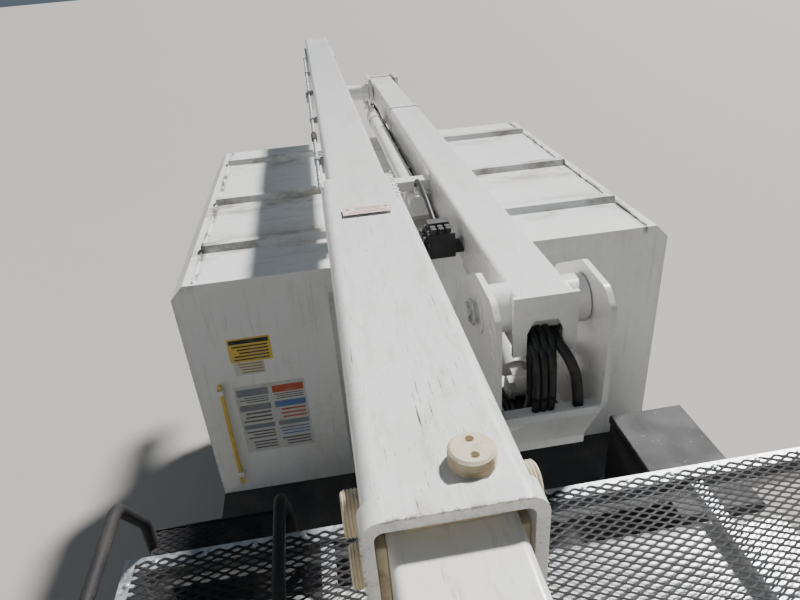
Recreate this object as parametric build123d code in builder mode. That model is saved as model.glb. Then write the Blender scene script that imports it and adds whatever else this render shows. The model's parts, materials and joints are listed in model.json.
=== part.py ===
"""Cherry picker truck with a chip box: a two-boom bucket lift stowed over a medium truck.

Axes: X forward, Y to the truck's left, Z up from the ground. Sizes are in millimetres.
"""
import os

from build123d import *

os.makedirs("parts", exist_ok=True)

# Running and seating clearances
pin_clearance = 0.05
face_clearance = 0.3
panel_gap = 6

# Chassis
rail_outer_width = 865
rail_height = 230
rail_flange = 75
rail_wall = 9
rail_top = 880
frame_rear = -2760
front_axle_x = 3170
rear_axle_x = -1690

# Wheels
tyre_radius = 405
tyre_width = 226
rim_radius = 248
rim_width = 178
wheel_bore = 60
front_wheel_y = 950
dual_centre_y = 945
dual_spacing = 276
kingpin_y = 842
kingpin_radius = 20

# Cab
cab_back = 1050
cab_firewall = 2790
cab_cowl = 2960
cab_sill = 640
cab_belt = 1440
cab_roof = 2030
cab_wall = 50
cab_half_width = 1010
cab_roof_half_width = 850
glass_thickness = 6

# Front end
nose_x = 4020
hood_front_x = 3990
hood_wall = 30
arch_radius = 495
bumper_x = 4140
bumper_wall = 12

# Deck and chip box
deck_top = 1020
deck_sheet = 20
deck_half_width = 1220
box_front = -390
box_length = 2340
box_width = 2 * deck_half_width
box_height = 1300
box_wall = 40
box_chamfer = 65
box_recess_width = 1000
box_recess_depth = 70
tail_door_thickness = 40

# Pedestal and turret
swing_x = 310
pedestal_radius = 225
pedestal_top = 1950
turntable_radius = 300
turntable_thickness = 65
turret_plate = 20
turret_inner_low_y = 20
turret_inner_high_y = 360

# Booms
lift_pivot_x = 550
lift_pivot_z = 2540
lift_pin_radius = 32
lower_boom_y = 195
lower_boom_top = 2620
lower_boom_size = 204
lower_boom_wall = 8
lower_boom_front = 655
lower_boom_step = -2320
lower_boom_rear = -3640
elbow_x = -3510
elbow_z = 2520
elbow_shaft_radius = 40
upper_boom_y = -335
upper_boom_top = 2940
upper_boom_width = 200
upper_boom_height = 240
upper_boom_wall = 10
upper_boom_rear = -4140
sleeve_rear = 230
sleeve_front = 1720
sleeve_width = 250
sleeve_height = 280
sleeve_wall = 13
inner_boom_size = 190
inner_boom_wall = 9
inner_boom_drop = 42
inner_boom_front = 2640
sprocket_radius = 75
chain_pitch = 20
chain_roller = 6

# Bucket
bucket_x = 2560
bucket_pivot_z = 2770
bucket_length = 610
bucket_height = 1020
bucket_drop = 330
bucket_wall = 10
bucket_y = -480

# Cylinders
lift_base_x = 410
lift_base_z = 2100
lift_eye_x = -300
lift_eye_z = 2350
lift_barrel_radius = 55
lift_rod_radius = 24
lift_barrel_length = 690
lift_gland = 60
lift_piston = 30
elbow_cylinder_y = 15
elbow_cylinder_z = 2463
elbow_cylinder_radius = 46
elbow_bore_radius = 32
elbow_rod_radius = 18
elbow_cylinder_rear = -2790
elbow_cylinder_front = -690

# Cab guard, rails and steps
guard_rear = 985
guard_length = 1400
guard_top = 2090
guard_half_width = 1170
guard_angle = 50
guard_angle_wall = 5
mesh_sheet = 4
handrail_radius = 17

# Tool box on the deck
tool_box_x = (-60, 610)
tool_box_y = (850, 1220)
tool_box_height = 420
tool_box_lid = 45

# Outriggers
outrigger_x = 800
outrigger_y = 1120
outrigger_socket = 130
outrigger_leg = 100
outrigger_foot_z = 330

lower_boom_bottom = lower_boom_top - lower_boom_size
lower_boom_middle = lower_boom_top - lower_boom_size / 2
lower_tip_size = lower_boom_size - 2 * lower_boom_wall
upper_boom_bottom = upper_boom_top - upper_boom_height
sleeve_bottom = upper_boom_top - sleeve_height
inner_boom_top = upper_boom_top - inner_boom_drop
inner_boom_middle = inner_boom_top - inner_boom_size / 2
box_rear = box_front - box_length
box_top = deck_top + box_height
wheel_z = tyre_radius
bucket_bottom = bucket_pivot_z - bucket_drop


def lengthwise(y):
    """The plane Y = y, with sketch X forward and sketch Y up. It extrudes towards -Y."""
    return Plane.XZ.offset(-y)


def crosswise(x):
    """The plane X = x, with sketch X to the left and sketch Y up. It extrudes towards +X."""
    return Plane.YZ.offset(x)


def level(z):
    """The plane Z = z, with sketch X forward and sketch Y to the left. It extrudes upwards."""
    return Plane.XY.offset(z)


def block(x, y, z):
    """A block between pairs of X, Y and Z."""
    with BuildPart() as body:
        with BuildSketch(level(z[0])):
            with Locations(((x[0] + x[1]) / 2, (y[0] + y[1]) / 2)):
                Rectangle(x[1] - x[0], y[1] - y[0])
        extrude(amount=z[1] - z[0])
    return body.part


def side_plate(outline, y_low, y_high):
    """A plate between two Y planes, whose side outline is (X, Z) points."""
    with BuildPart() as plate:
        with BuildSketch(lengthwise(y_high)):
            with BuildLine():
                Polyline(*outline, close=True)
            make_face()
        extrude(amount=y_high - y_low)
    return plate.part


def cross_plate(outline, x_low, x_high):
    """A plate between two X planes, whose outline is (Y, Z) points."""
    with BuildPart() as plate:
        with BuildSketch(crosswise(x_low)):
            with BuildLine():
                Polyline(*outline, close=True)
            make_face()
        extrude(amount=x_high - x_low)
    return plate.part


def cross_rod(x, z, radius, y_low, y_high):
    """A round bar along Y."""
    with BuildPart() as rod:
        with BuildSketch(lengthwise(y_high)):
            with Locations((x, z)):
                Circle(radius)
        extrude(amount=y_high - y_low)
    return rod.part


def long_rod(y, z, radius, x_low, x_high):
    """A round bar along X."""
    with BuildPart() as rod:
        with BuildSketch(crosswise(x_low)):
            with Locations((y, z)):
                Circle(radius)
        extrude(amount=x_high - x_low)
    return rod.part


def upright(x, y, radius, z_low, z_high):
    """A round bar along Z."""
    with BuildPart() as post:
        with BuildSketch(level(z_low)):
            with Locations((x, y)):
                Circle(radius)
        extrude(amount=z_high - z_low)
    return post.part


def long_tube(y, z, width, height, wall, x_low, x_high, corner=20):
    """A hollow rectangular beam along X, centred on y and z, open at both ends."""
    with BuildPart() as beam:
        with BuildSketch(crosswise(x_low)):
            with Locations((y, z)):
                RectangleRounded(width, height, corner)
                RectangleRounded(width - 2 * wall, height - 2 * wall, max(corner - wall, 1), mode=Mode.SUBTRACT)
        extrude(amount=x_high - x_low)
    return beam.part


def bent_tube(points, radius, bend):
    """A round bar along straight runs joined by arcs of one bend radius."""
    with BuildPart() as tube:
        with BuildLine() as path:
            FilletPolyline(*points, radius=bend)
        with BuildSketch(Plane(origin=points[0], z_dir=Vector(*points[1]) - Vector(*points[0]))):
            Circle(radius)
        sweep(path=path.line)
    return tube.part


def save(part, label):
    part.label = label
    export_step(part, f"parts/{label}.step")


# Frame rails, cross members and spring hangers
rail_low = rail_top - rail_height
rail_outer = rail_outer_width / 2
bumper_inner = bumper_x - bumper_wall
cross_members = (frame_rear + 60, -2350, -1100, -250, 650, 1500, 2080)


def rail_outline(side):
    web = side * rail_outer
    flange = side * (rail_outer - rail_flange)
    skin = side * (rail_outer - rail_wall)
    return [(web, rail_low), (web, rail_top), (flange, rail_top), (flange, rail_top - rail_wall),
            (skin, rail_top - rail_wall), (skin, rail_low + rail_wall), (flange, rail_low + rail_wall),
            (flange, rail_low)]


spring_reach = {"front": 620, "rear": 680}
spring_y = rail_outer - rail_flange / 2
spring_width = 70
hanger_drop = 70

with BuildPart() as frame_rails:
    for side in (1, -1):
        add(cross_plate(rail_outline(side), frame_rear, bumper_inner))
        for axle_x, reach in ((front_axle_x, spring_reach["front"]), (rear_axle_x, spring_reach["rear"])):
            for end in (-1, 1):
                add(block((axle_x + end * reach - 35, axle_x + end * reach + 35),
                          (side * spring_y - 40, side * spring_y + 40), (rail_low - hanger_drop, rail_low)))
    for x in cross_members:
        add(block((x - 40, x + 40), (-rail_outer + rail_wall, rail_outer - rail_wall),
                  (rail_low + 75, rail_top - 40)))
        add(block((x - 40 + rail_wall, x + 40), (-rail_outer + rail_wall, rail_outer - rail_wall),
                  (rail_low + 75 + rail_wall, rail_top - 40 - rail_wall)), mode=Mode.SUBTRACT)
save(frame_rails.part, "frame_rails")

# Leaf springs: each pack is one bowed main leaf with two shorter ones under it
front_beam_height = 90
axle_tube_radius = 65
spring_leaf = 14


def spring_seat(kind):
    return wheel_z + (front_beam_height / 2 if kind == "front" else axle_tube_radius)


def leaf_band(x, reach, low, high, thickness, y):
    """One bowed leaf: two arcs joined at the ends, low at the middle."""
    with BuildPart() as leaf:
        with BuildSketch(lengthwise(y + spring_width / 2)):
            with BuildLine():
                ThreePointArc((x - reach, high), (x, low), (x + reach, high))
                Line((x + reach, high), (x + reach, high + thickness))
                ThreePointArc((x + reach, high + thickness), (x, low + thickness),
                              (x - reach, high + thickness))
                Line((x - reach, high + thickness), (x - reach, high))
            make_face()
        extrude(amount=spring_width)
    return leaf.part


with BuildPart() as leaf_springs:
    for side in (1, -1):
        for kind, axle_x in (("front", front_axle_x), ("rear", rear_axle_x)):
            seat = spring_seat(kind)
            reach = spring_reach[kind]
            rise = rail_low - hanger_drop - spring_leaf - face_clearance - seat - 2 * spring_leaf - 1
            for leaf, share in enumerate((0.55, 0.8, 1.0)):
                base = seat + leaf * spring_leaf
                add(leaf_band(axle_x, reach * share, base, base + rise * share ** 2, spring_leaf + 1,
                              side * spring_y))
save(leaf_springs.part, "leaf_springs")

# Front axle: an I-beam with a bored eye at each end
eye_radius = 42
eye_height = 100
beam_web = 22
with BuildPart() as front_axle:
    with BuildSketch(Plane.XZ.offset(-kingpin_y)):
        with Locations((front_axle_x, wheel_z)):
            Rectangle(80, front_beam_height)
            for end in (-1, 1):
                with Locations((end * (40 + beam_web / 2) / 2, 0)):
                    Rectangle(40 - beam_web / 2, front_beam_height - 40, mode=Mode.SUBTRACT)
    extrude(amount=2 * kingpin_y)
    for side in (1, -1):
        add(upright(front_axle_x, side * kingpin_y, eye_radius, wheel_z - eye_height / 2,
                    wheel_z + eye_height / 2))
        add(upright(front_axle_x, side * kingpin_y, kingpin_radius + pin_clearance, wheel_z - eye_height,
                    wheel_z + eye_height), mode=Mode.SUBTRACT)
        add(block((front_axle_x - 60, front_axle_x + 60), (side * spring_y - 45, side * spring_y + 45),
                  (wheel_z - front_beam_height / 2, wheel_z + front_beam_height / 2)))
save(front_axle.part, "front_axle")

# Steering knuckles: a yoke over the axle's eye, the king pin and the wheel's spindle
hub_face = front_wheel_y - 30
yoke_gap = 1
yoke_thickness = 28
hub_wall = 20
spindle_radius = wheel_bore - hub_wall
brake_radius = 190
steer_arm = 170


def knuckle(side):
    y = side * kingpin_y
    low = wheel_z - eye_height / 2 - yoke_gap
    high = wheel_z + eye_height / 2 + yoke_gap
    web_in = kingpin_y + eye_radius + 4
    with BuildPart() as body:
        add(upright(front_axle_x, y, kingpin_radius, low - yoke_thickness, high + yoke_thickness))
        for z in (low - yoke_thickness, high):
            add(upright(front_axle_x, y, eye_radius, z, z + yoke_thickness))
            arm_y = sorted((y, side * (web_in + 20)))
            add(block((front_axle_x - eye_radius, front_axle_x + eye_radius), arm_y, (z, z + yoke_thickness)))
        web_y = sorted((side * web_in, side * (web_in + 20)))
        add(block((front_axle_x - eye_radius, front_axle_x + eye_radius), web_y,
                  (low - yoke_thickness, high + yoke_thickness)))
        disc_y = sorted((side * (web_in + 10), side * (web_in + 24)))
        add(cross_rod(front_axle_x, wheel_z, brake_radius, *disc_y))
        spindle_y = sorted((side * web_in, side * (front_wheel_y + 60)))
        add(cross_rod(front_axle_x, wheel_z, spindle_radius, *spindle_y))
        arm_low = low - yoke_thickness
        add(block((front_axle_x - steer_arm, front_axle_x), sorted((y - side * 60, y - side * 20)),
                  (arm_low, arm_low + 24)))
        add(block((front_axle_x - 20, front_axle_x + 20), sorted((y - side * 60, y)), (arm_low, arm_low + 24)))
    return body.part


save(knuckle(1), "knuckle_left")
save(knuckle(-1), "knuckle_right")

# Rear axle: tube, round differential housing and spindles
differential_radius = 185
inner_tyre_y = dual_centre_y - dual_spacing / 2
outer_tyre_y = dual_centre_y + dual_spacing / 2
rear_drum_radius = 195
rear_spindle_end = dual_centre_y + 60
with BuildPart() as rear_axle:
    drum_inner = inner_tyre_y - 60
    add(cross_rod(rear_axle_x, wheel_z, axle_tube_radius, -drum_inner, drum_inner))
    with BuildSketch(crosswise(rear_axle_x - 120)):
        with Locations((0, wheel_z)):
            Circle(differential_radius)
    extrude(amount=240, taper=12)
    add(long_rod(0, wheel_z + 20, 75, rear_axle_x, rear_axle_x + 260))
    for side in (1, -1):
        drum = sorted((side * drum_inner, side * (drum_inner + 14)))
        add(cross_rod(rear_axle_x, wheel_z, rear_drum_radius, *drum))
        spindle_y = sorted((side * drum_inner, side * rear_spindle_end))
        add(cross_rod(rear_axle_x, wheel_z, spindle_radius, *spindle_y))
        add(block((rear_axle_x - 65, rear_axle_x + 65), (side * spring_y - 45, side * spring_y + 45),
                  (wheel_z - 40, wheel_z + axle_tube_radius)))
save(rear_axle.part, "rear_axle")

# Wheels: a dished steel rim and a tyre, each revolved about the axle
disc_wall = 14
bead_place = 0.86
bead_height = 16


def rim(x, y, side, hub_y):
    """A drop-centre rim whose disc meets the hub face at hub_y."""
    half = rim_width / 2
    out = side * half
    lip = rim_radius + 12
    profile = [(lip, -out), (rim_radius - 8, -out), (rim_radius - 10, -out * 0.75),
               (rim_radius - 30, -out * 0.3), (rim_radius - 30, out * 0.45), (rim_radius - 10, out * 0.8),
               (rim_radius - 8, out), (lip, out), (lip, out * 0.9), (rim_radius, out * bead_place),
               (rim_radius, out * 0.72), (rim_radius - 21, out * 0.4), (rim_radius - 21, -out * 0.3),
               (rim_radius, -out * 0.72), (rim_radius, -out * bead_place), (lip, -out * 0.9)]
    step = hub_y - y
    disc = [(rim_radius - 26, side * 10), (rim_radius - 60, side * 10 + step * 0.45), (150, step),
            (wheel_bore, step), (wheel_bore, step - side * disc_wall), (145, step - side * disc_wall),
            (rim_radius - 72, side * 2 + step * 0.4), (rim_radius - 26, side * (10 - disc_wall))]
    axle = Plane(origin=(x, y, wheel_z), x_dir=(0, 0, 1), z_dir=(-1, 0, 0))
    with BuildPart() as body:
        for outline in (profile, disc):
            with BuildSketch(axle):
                with BuildLine():
                    Polyline(*outline, close=True)
                make_face()
            revolve(axis=Axis((x, y, wheel_z), (0, 1, 0)))
        with BuildSketch(lengthwise(y + 400)):
            with Locations((x, wheel_z)):
                with PolarLocations(190, 8):
                    Circle(22)
        extrude(amount=800, mode=Mode.SUBTRACT)
    return body.part


def hub(x, side, inner_y, outer_y):
    """The hub inside the wheel's bore, on its spindle, with the flange that carries the disc."""
    with BuildPart() as body:
        add(cross_rod(x, wheel_z, wheel_bore - face_clearance, *sorted((side * inner_y, side * outer_y))))
        add(cross_rod(x, wheel_z, spindle_radius + pin_clearance * 4,
                      *sorted((side * inner_y, side * (outer_y - 15)))), mode=Mode.SUBTRACT)
    return body.part


def tyre(x, y):
    """A tyre whose cross section has flat tread, rounded shoulders and bulged walls."""
    half = tyre_width / 2
    bead = rim_radius + face_clearance
    heel = rim_width / 2 * bead_place - 1
    toe = heel - 14
    shoulder = half - 34
    axle = Plane(origin=(x, y, wheel_z), x_dir=(0, 0, 1), z_dir=(-1, 0, 0))
    with BuildPart() as body:
        with BuildSketch(axle):
            with BuildLine():
                Polyline((bead, -heel), (bead, -toe), (bead + 50, -half + 22),
                         (tyre_radius - 34, -shoulder + 6), (tyre_radius - 20, 0),
                         (tyre_radius - 34, shoulder - 6), (bead + 50, half - 22), (bead, toe), (bead, heel),
                         (bead + bead_height, heel))
                ThreePointArc((bead + bead_height, heel), (bead + 68, half), (tyre_radius - 26, half - 12))
                ThreePointArc((tyre_radius - 26, half - 12), (tyre_radius - 8, half - 20),
                              (tyre_radius - 2, shoulder))
                Polyline((tyre_radius - 2, shoulder), (tyre_radius, 0), (tyre_radius - 2, -shoulder))
                ThreePointArc((tyre_radius - 2, -shoulder), (tyre_radius - 8, -half + 20),
                              (tyre_radius - 26, -half + 12))
                ThreePointArc((tyre_radius - 26, -half + 12), (bead + 68, -half), (bead + bead_height, -heel))
                Line((bead + bead_height, -heel), (bead, -heel))
            make_face()
        revolve(axis=Axis((x, y, wheel_z), (0, 1, 0)))
    return body.part


for name, side in (("left", 1), ("right", -1)):
    front_hub_y = front_wheel_y + 40
    with BuildPart() as front_rim:
        add(rim(front_axle_x, side * front_wheel_y, side, side * front_hub_y))
        add(hub(front_axle_x, side, kingpin_y + eye_radius + 34, front_hub_y + 60))
        flange = sorted((side * (front_hub_y - disc_wall - 20), side * (front_hub_y - disc_wall)))
        add(cross_rod(front_axle_x, wheel_z, 130, *flange))
        add(cross_rod(front_axle_x, wheel_z, spindle_radius + pin_clearance * 4,
                      *sorted((side * (front_wheel_y - 60), side * (front_hub_y + 45)))), mode=Mode.SUBTRACT)
    save(front_rim.part, f"rim_front_{name}")
    save(tyre(front_axle_x, side * front_wheel_y), f"tyre_front_{name}")
    with BuildPart() as rear_rims:
        for y, lean in ((inner_tyre_y, 1), (outer_tyre_y, -1)):
            add(rim(rear_axle_x, side * y, side * lean, side * dual_centre_y))
        add(hub(rear_axle_x, side, inner_tyre_y - 30, dual_centre_y + 110))
        flange = sorted((side * (dual_centre_y - 34), side * (dual_centre_y - 13)))
        add(cross_rod(rear_axle_x, wheel_z, 130, *flange))
        add(cross_rod(rear_axle_x, wheel_z, spindle_radius + pin_clearance * 4,
                      *sorted((side * (inner_tyre_y - 50), side * (dual_centre_y + 90)))), mode=Mode.SUBTRACT)
    save(rear_rims.part, f"rims_rear_{name}")
    with BuildPart() as rear_tyres:
        add(tyre(rear_axle_x, side * inner_tyre_y))
        add(tyre(rear_axle_x, side * outer_tyre_y))
    save(rear_tyres.part, f"tyres_rear_{name}")

# Drive line: engine and gearbox as one plain block, with the propeller shaft behind it
engine_x = (2820, 3560)
engine_z = (560, 1220)
engine_half_width = 290
gearbox_rear = 2200
with BuildPart() as engine_block:
    add(block(engine_x, (-engine_half_width, engine_half_width), engine_z))
    add(block((gearbox_rear, engine_x[0]), (-170, 170), (engine_z[0], engine_z[0] + 300)))
    for x in (engine_x[0] + 150, engine_x[1] - 150):
        for side in (1, -1):
            add(block((x - 40, x + 40), sorted((side * engine_half_width, side * (rail_outer - rail_wall))),
                      (rail_top - 120, rail_top - 60)))

shaft_radius = 45
with BuildPart() as propeller_shaft:
    pinion_x = rear_axle_x + 260
    shaft_z = (wheel_z + 20, engine_z[0] + 110)
    path_points = [(pinion_x + face_clearance, 0, shaft_z[0]), (gearbox_rear - face_clearance, 0, shaft_z[1])]
    with BuildSketch(Plane(origin=path_points[0], z_dir=Vector(*path_points[1]) - Vector(*path_points[0]))):
        Circle(shaft_radius)
    extrude(amount=(Vector(*path_points[1]) - Vector(*path_points[0])).length)
    add(block((pinion_x + face_clearance - 2, pinion_x + 60), (-70, 70), (shaft_z[0] - 40, shaft_z[0] + 40)))
    add(block((pinion_x - 100, pinion_x + face_clearance), (-120, 120), (shaft_z[0] - 90, shaft_z[0] + 90)),
        mode=Mode.SUBTRACT)
    add(block((gearbox_rear - face_clearance, gearbox_rear + 100), (-120, 120),
              (shaft_z[1] - 90, shaft_z[1] + 90)), mode=Mode.SUBTRACT)

with BuildPart() as drive_line:
    add(engine_block.part)
    add(propeller_shaft.part)
save(drive_line.part, "drive_line")

# Fuel tank under the cab's left side, strapped to the frame rail
tank_x = (1250, 2150)
tank_z = (400, 640)
with BuildPart() as fuel_tank:
    add(block(tank_x, (rail_outer + 10, rail_outer + 400), tank_z))
    fillet(fuel_tank.edges().filter_by(Axis.X), radius=50)
    for x in (tank_x[0] + 150, tank_x[1] - 150):
        add(block((x - 25, x + 25), (rail_outer, rail_outer + 60), (tank_z[1] - 60, rail_low + 60)))
save(fuel_tank.part, "fuel_tank")

# Cab: one hollow body whose side outline and front outline cross, opened for doors and glass
cab_side = [(cab_back, cab_sill), (cab_back, 1960), (cab_back + 70, cab_roof), (2330, cab_roof - 8),
            (2430, 1985), (cab_cowl, 1480), (cab_cowl, 1330), (cab_firewall, 1240), (cab_firewall, cab_sill)]
cab_floor = 900
tunnel_half_width = 540
cab_front = [(-985, cab_sill), (-cab_half_width, 900), (-cab_half_width, cab_belt),
             (-cab_roof_half_width - 30, 1930), (-cab_roof_half_width + 60, cab_roof),
             (cab_roof_half_width - 60, cab_roof), (cab_roof_half_width + 30, 1930), (cab_half_width, cab_belt),
             (cab_half_width, 900), (985, cab_sill), (tunnel_half_width, cab_sill),
             (tunnel_half_width, cab_floor), (-tunnel_half_width, cab_floor), (-tunnel_half_width, cab_sill)]


def cab_solid(inset):
    """The cab's outer form, or the space inside it when inset by the wall."""
    with BuildPart() as form:
        with BuildSketch(lengthwise(cab_half_width + 50)) as side_view:
            with BuildLine():
                Polyline(*cab_side, close=True)
            make_face()
            fillet(side_view.vertices().filter_by(lambda corner: corner.Y > cab_belt), radius=30)
            if inset:
                offset(amount=-inset, kind=Kind.INTERSECTION)
        extrude(amount=2 * cab_half_width + 100)
        with BuildSketch(crosswise(cab_back - 50)) as front_view:
            with BuildLine():
                Polyline(*cab_front, close=True)
            make_face()
            fillet(front_view.vertices().filter_by(lambda corner: corner.Y > cab_belt + 100), radius=40)
            if inset:
                offset(amount=-inset, kind=Kind.INTERSECTION)
        extrude(amount=cab_cowl - cab_back + 100, mode=Mode.INTERSECT)
    return form.part


pillar_slope = (cab_belt + 40 - 1985) / (cab_cowl - 2430)
door_rear = cab_back + 270
door_front = 2640
door_low = cab_sill + 50
door_high = 1925
door_top_front = 2365
door_outline = [(door_rear, door_low), (door_rear, door_high), (door_top_front, door_high),
                (door_front, door_high + (door_front - door_top_front) * pillar_slope), (door_front, door_low)]
window_inset = 75
window_low = cab_belt + 10
window_front = door_front - window_inset
window_top_front = door_top_front - window_inset * 0.55
window_outline = [(door_rear + window_inset, window_low), (door_rear + window_inset, door_high - window_inset),
                  (window_top_front, door_high - window_inset),
                  (window_front, door_high - window_inset + (window_front - window_top_front) * pillar_slope),
                  (window_front, window_low)]


def opened(outline, margin, y_low, y_high):
    """A block through the cab's side, with rounded corners, grown from an outline by a margin."""
    with BuildPart() as cutter:
        with BuildSketch(lengthwise(y_high)) as shape:
            with BuildLine():
                Polyline(*outline, close=True)
            make_face()
            fillet(shape.vertices(), radius=40)
            if margin:
                offset(amount=margin, kind=Kind.INTERSECTION)
        extrude(amount=y_high - y_low)
    return cutter.part


hood_half_width = 800
hood_hinge = (cab_cowl + panel_gap, 1478)
door_hinge = (door_front + panel_gap, cab_half_width + 10)
door_hinge_z = (960, 1300)
door_grip_z = (1290, 1325)
cab_outer = cab_solid(0)
cab_inner = cab_solid(cab_wall)
rear_window = ((-600, 600), (1470, 1860))

# The windshield lies in its own plane, from the cowl up to the roof's front edge
screen_low = Vector(cab_cowl, 0, cab_belt + 40)
screen_high = Vector(2430, 0, 1985)
screen_up = (screen_high - screen_low).normalized()
screen_height = (screen_high - screen_low).length
screen_plane = Plane(origin=screen_low, x_dir=(0, 1, 0), z_dir=Vector(0, 1, 0).cross(screen_up))


def screen(margin, thickness, depth):
    """A tapered pane or opening in the windshield's plane; depth is how far below the skin it starts."""
    half_low = cab_half_width - 70 - margin
    half_high = cab_roof_half_width - 20 - margin
    with BuildPart() as pane:
        with BuildSketch(screen_plane.offset(-depth)) as shape:
            with BuildLine():
                Polyline((-half_low, 55 + margin), (half_low, 55 + margin),
                         (half_high, screen_height - 35 - margin), (-half_high, screen_height - 35 - margin),
                         close=True)
            make_face()
            fillet(shape.vertices(), radius=50)
        extrude(amount=thickness)
    return pane.part


with BuildPart() as cab_shell:
    add(cab_outer)
    add(cab_inner, mode=Mode.SUBTRACT)
    for side in (1, -1):
        reach = sorted((side * 600, side * (cab_half_width + 60)))
        add(opened(door_outline, panel_gap, *reach), mode=Mode.SUBTRACT)
    add(screen(0, 400, 200), mode=Mode.SUBTRACT)
    add(block((cab_back - 20, cab_back + cab_wall + 20), rear_window[0], rear_window[1]), mode=Mode.SUBTRACT)
    for x in (cab_back + 150, 2500):
        for side in (1, -1):
            add(block((x - 50, x + 50), sorted((side * (spring_y - 35), side * (spring_y + 35))),
                      (rail_top, cab_floor)))
    for side in (1, -1):
        add(block((hood_hinge[0] - 26, hood_hinge[0] + 12),
                  sorted((side * (hood_half_width - 3), side * (hood_half_width + 12))),
                  (hood_hinge[1] - 14, hood_hinge[1] + 14)))
        add(cross_rod(*hood_hinge, 7 + pin_clearance, side * hood_half_width - 50, side * hood_half_width + 50),
            mode=Mode.SUBTRACT)
        for z in door_hinge_z:
            for low, high in ((z + 50 + face_clearance, z + 75), (z - 25, z - face_clearance)):
                add(upright(door_hinge[0], side * door_hinge[1], 9, low, high))
                leaf = sorted((side * (cab_half_width - 4), side * (cab_half_width + 4)))
                add(block((door_hinge[0], door_hinge[0] + 34), leaf, (low, high)))
save(cab_shell.part, "cab_shell")

with BuildPart() as cab_glass:
    add(screen(face_clearance, glass_thickness, 28))
    add(block((cab_back + 20, cab_back + 20 + glass_thickness),
              (rear_window[0][0] + face_clearance, rear_window[0][1] - face_clearance),
              (rear_window[1][0] + face_clearance, rear_window[1][1] - face_clearance)))
save(cab_glass.part, "cab_glass")


# Doors: the cab wall between the shut lines, with the window cut out, a handle and a mirror
mirror_x = door_front - 38
mirror_z = (1410, 1790)
mirror_reach = 1195


def door(side):
    reach = sorted((side * 600, side * (cab_half_width + 60)))
    with BuildPart() as panel:
        add(cab_outer)
        add(cab_inner, mode=Mode.SUBTRACT)
        add(opened(door_outline, 0, *reach), mode=Mode.INTERSECT)
        add(opened(window_outline, 0, *reach), mode=Mode.SUBTRACT)
        grip = sorted((side * (cab_half_width - 10), side * (cab_half_width + 22)))
        add(block((door_rear + 60, door_rear + 230), grip, door_grip_z))
        for z in door_hinge_z:
            add(upright(door_hinge[0], side * door_hinge[1], 9, z, z + 50))
            leaf = sorted((side * (cab_half_width - 4), side * (cab_half_width + 4)))
            add(block((door_hinge[0] - 40, door_hinge[0]), leaf, (z, z + 50)))
        for z in (mirror_z[0] + 30, mirror_z[0] + 130):
            add(cross_rod(mirror_x, z, 14, *sorted((side * (cab_half_width - 40), side * (mirror_reach - 40)))))
        mirror_y = sorted((side * (mirror_reach - 190), side * mirror_reach))
        add(block((mirror_x - 35, mirror_x + 35), mirror_y, mirror_z))
    return panel.part


def door_pane(side):
    reach = sorted((side * 600, side * (cab_half_width + 60)))
    with BuildPart() as pane:
        add(cab_solid(20))
        add(cab_solid(20 + glass_thickness), mode=Mode.SUBTRACT)
        add(opened(window_outline, -face_clearance, *reach), mode=Mode.INTERSECT)
    return pane.part


for name, side in (("left", 1), ("right", -1)):
    save(door(side), f"door_{name}")
    save(door_pane(side), f"door_glass_{name}")

# Cab interior: bench seat, dashboard and steering wheel
seat_y = 720
floor_top = cab_floor + cab_wall
with BuildPart() as cab_seat:
    add(side_plate([(1250, floor_top), (1830, floor_top), (1860, floor_top + 190), (1330, floor_top + 160),
                    (1240, floor_top + 700), (1130, floor_top + 700), (1190, floor_top + 160)],
                   -seat_y, seat_y))

dash_x = (2430, cab_firewall - cab_wall)
dash_z = (1130, 1400)
wheel_hub = (2200, 430, 1370)
with BuildPart() as dashboard:
    add(side_plate([(dash_x[1], dash_z[0]), (dash_x[0] + 60, dash_z[0]), (dash_x[0], dash_z[0] + 140),
                    (dash_x[0] + 60, dash_z[1] - 20), (dash_x[1], dash_z[1])],
                   -cab_half_width + cab_wall + 60, cab_half_width - cab_wall - 60))
    column = Plane(origin=wheel_hub, z_dir=Vector(-0.82, 0, 0.57))
    with BuildSketch(column):
        Circle(28)
    extrude(amount=-330)
    with BuildSketch(column):
        Circle(60)
        with PolarLocations(100, 3):
            Rectangle(160, 36)
    extrude(amount=18)
    with BuildSketch(column):
        Circle(205)
        Circle(172, mode=Mode.SUBTRACT)
    extrude(amount=30)

with BuildPart() as cab_interior:
    add(cab_seat.part)
    add(dashboard.part)
save(cab_interior.part, "cab_interior")

# Front end: fenders and nose in one shell, with a hood, grille and lamps in it
fender_inner = 780
fender_wall = 28
fender_y = cab_half_width
hood_line = [(cab_cowl + panel_gap, 1478), (3400, 1452), (3800, 1400), (hood_front_x, 1335)]
fender_side = [(cab_firewall + panel_gap, 720), (cab_firewall + panel_gap, 1180),
               (cab_cowl + panel_gap, 1330), (cab_cowl + panel_gap, 1440), (3400, 1410), (3800, 1352),
               (nose_x, 1250), (nose_x, 800), (3600, 800)]
grille_y = 430
grille_z = (910, 1200)
lamp_y = (490, 850)
lamp_z = (900, 1180)


def fender_solid(inset):
    """The whole nose between the shut line and the front face, inset inside it."""
    with BuildPart() as form:
        with BuildSketch(lengthwise(fender_y - inset)) as outline:
            with BuildLine():
                Polyline(*fender_side, close=True)
            make_face()
            if inset:
                offset(amount=-inset, kind=Kind.INTERSECTION)
        extrude(amount=2 * (fender_y - inset))
        top = form.edges().filter_by(lambda edge: abs(abs(edge.center().Y) - fender_y + inset) < 1
                                     and edge.center().Z > 1250)
        chamfer(top, length=30)
    return form.part


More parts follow.
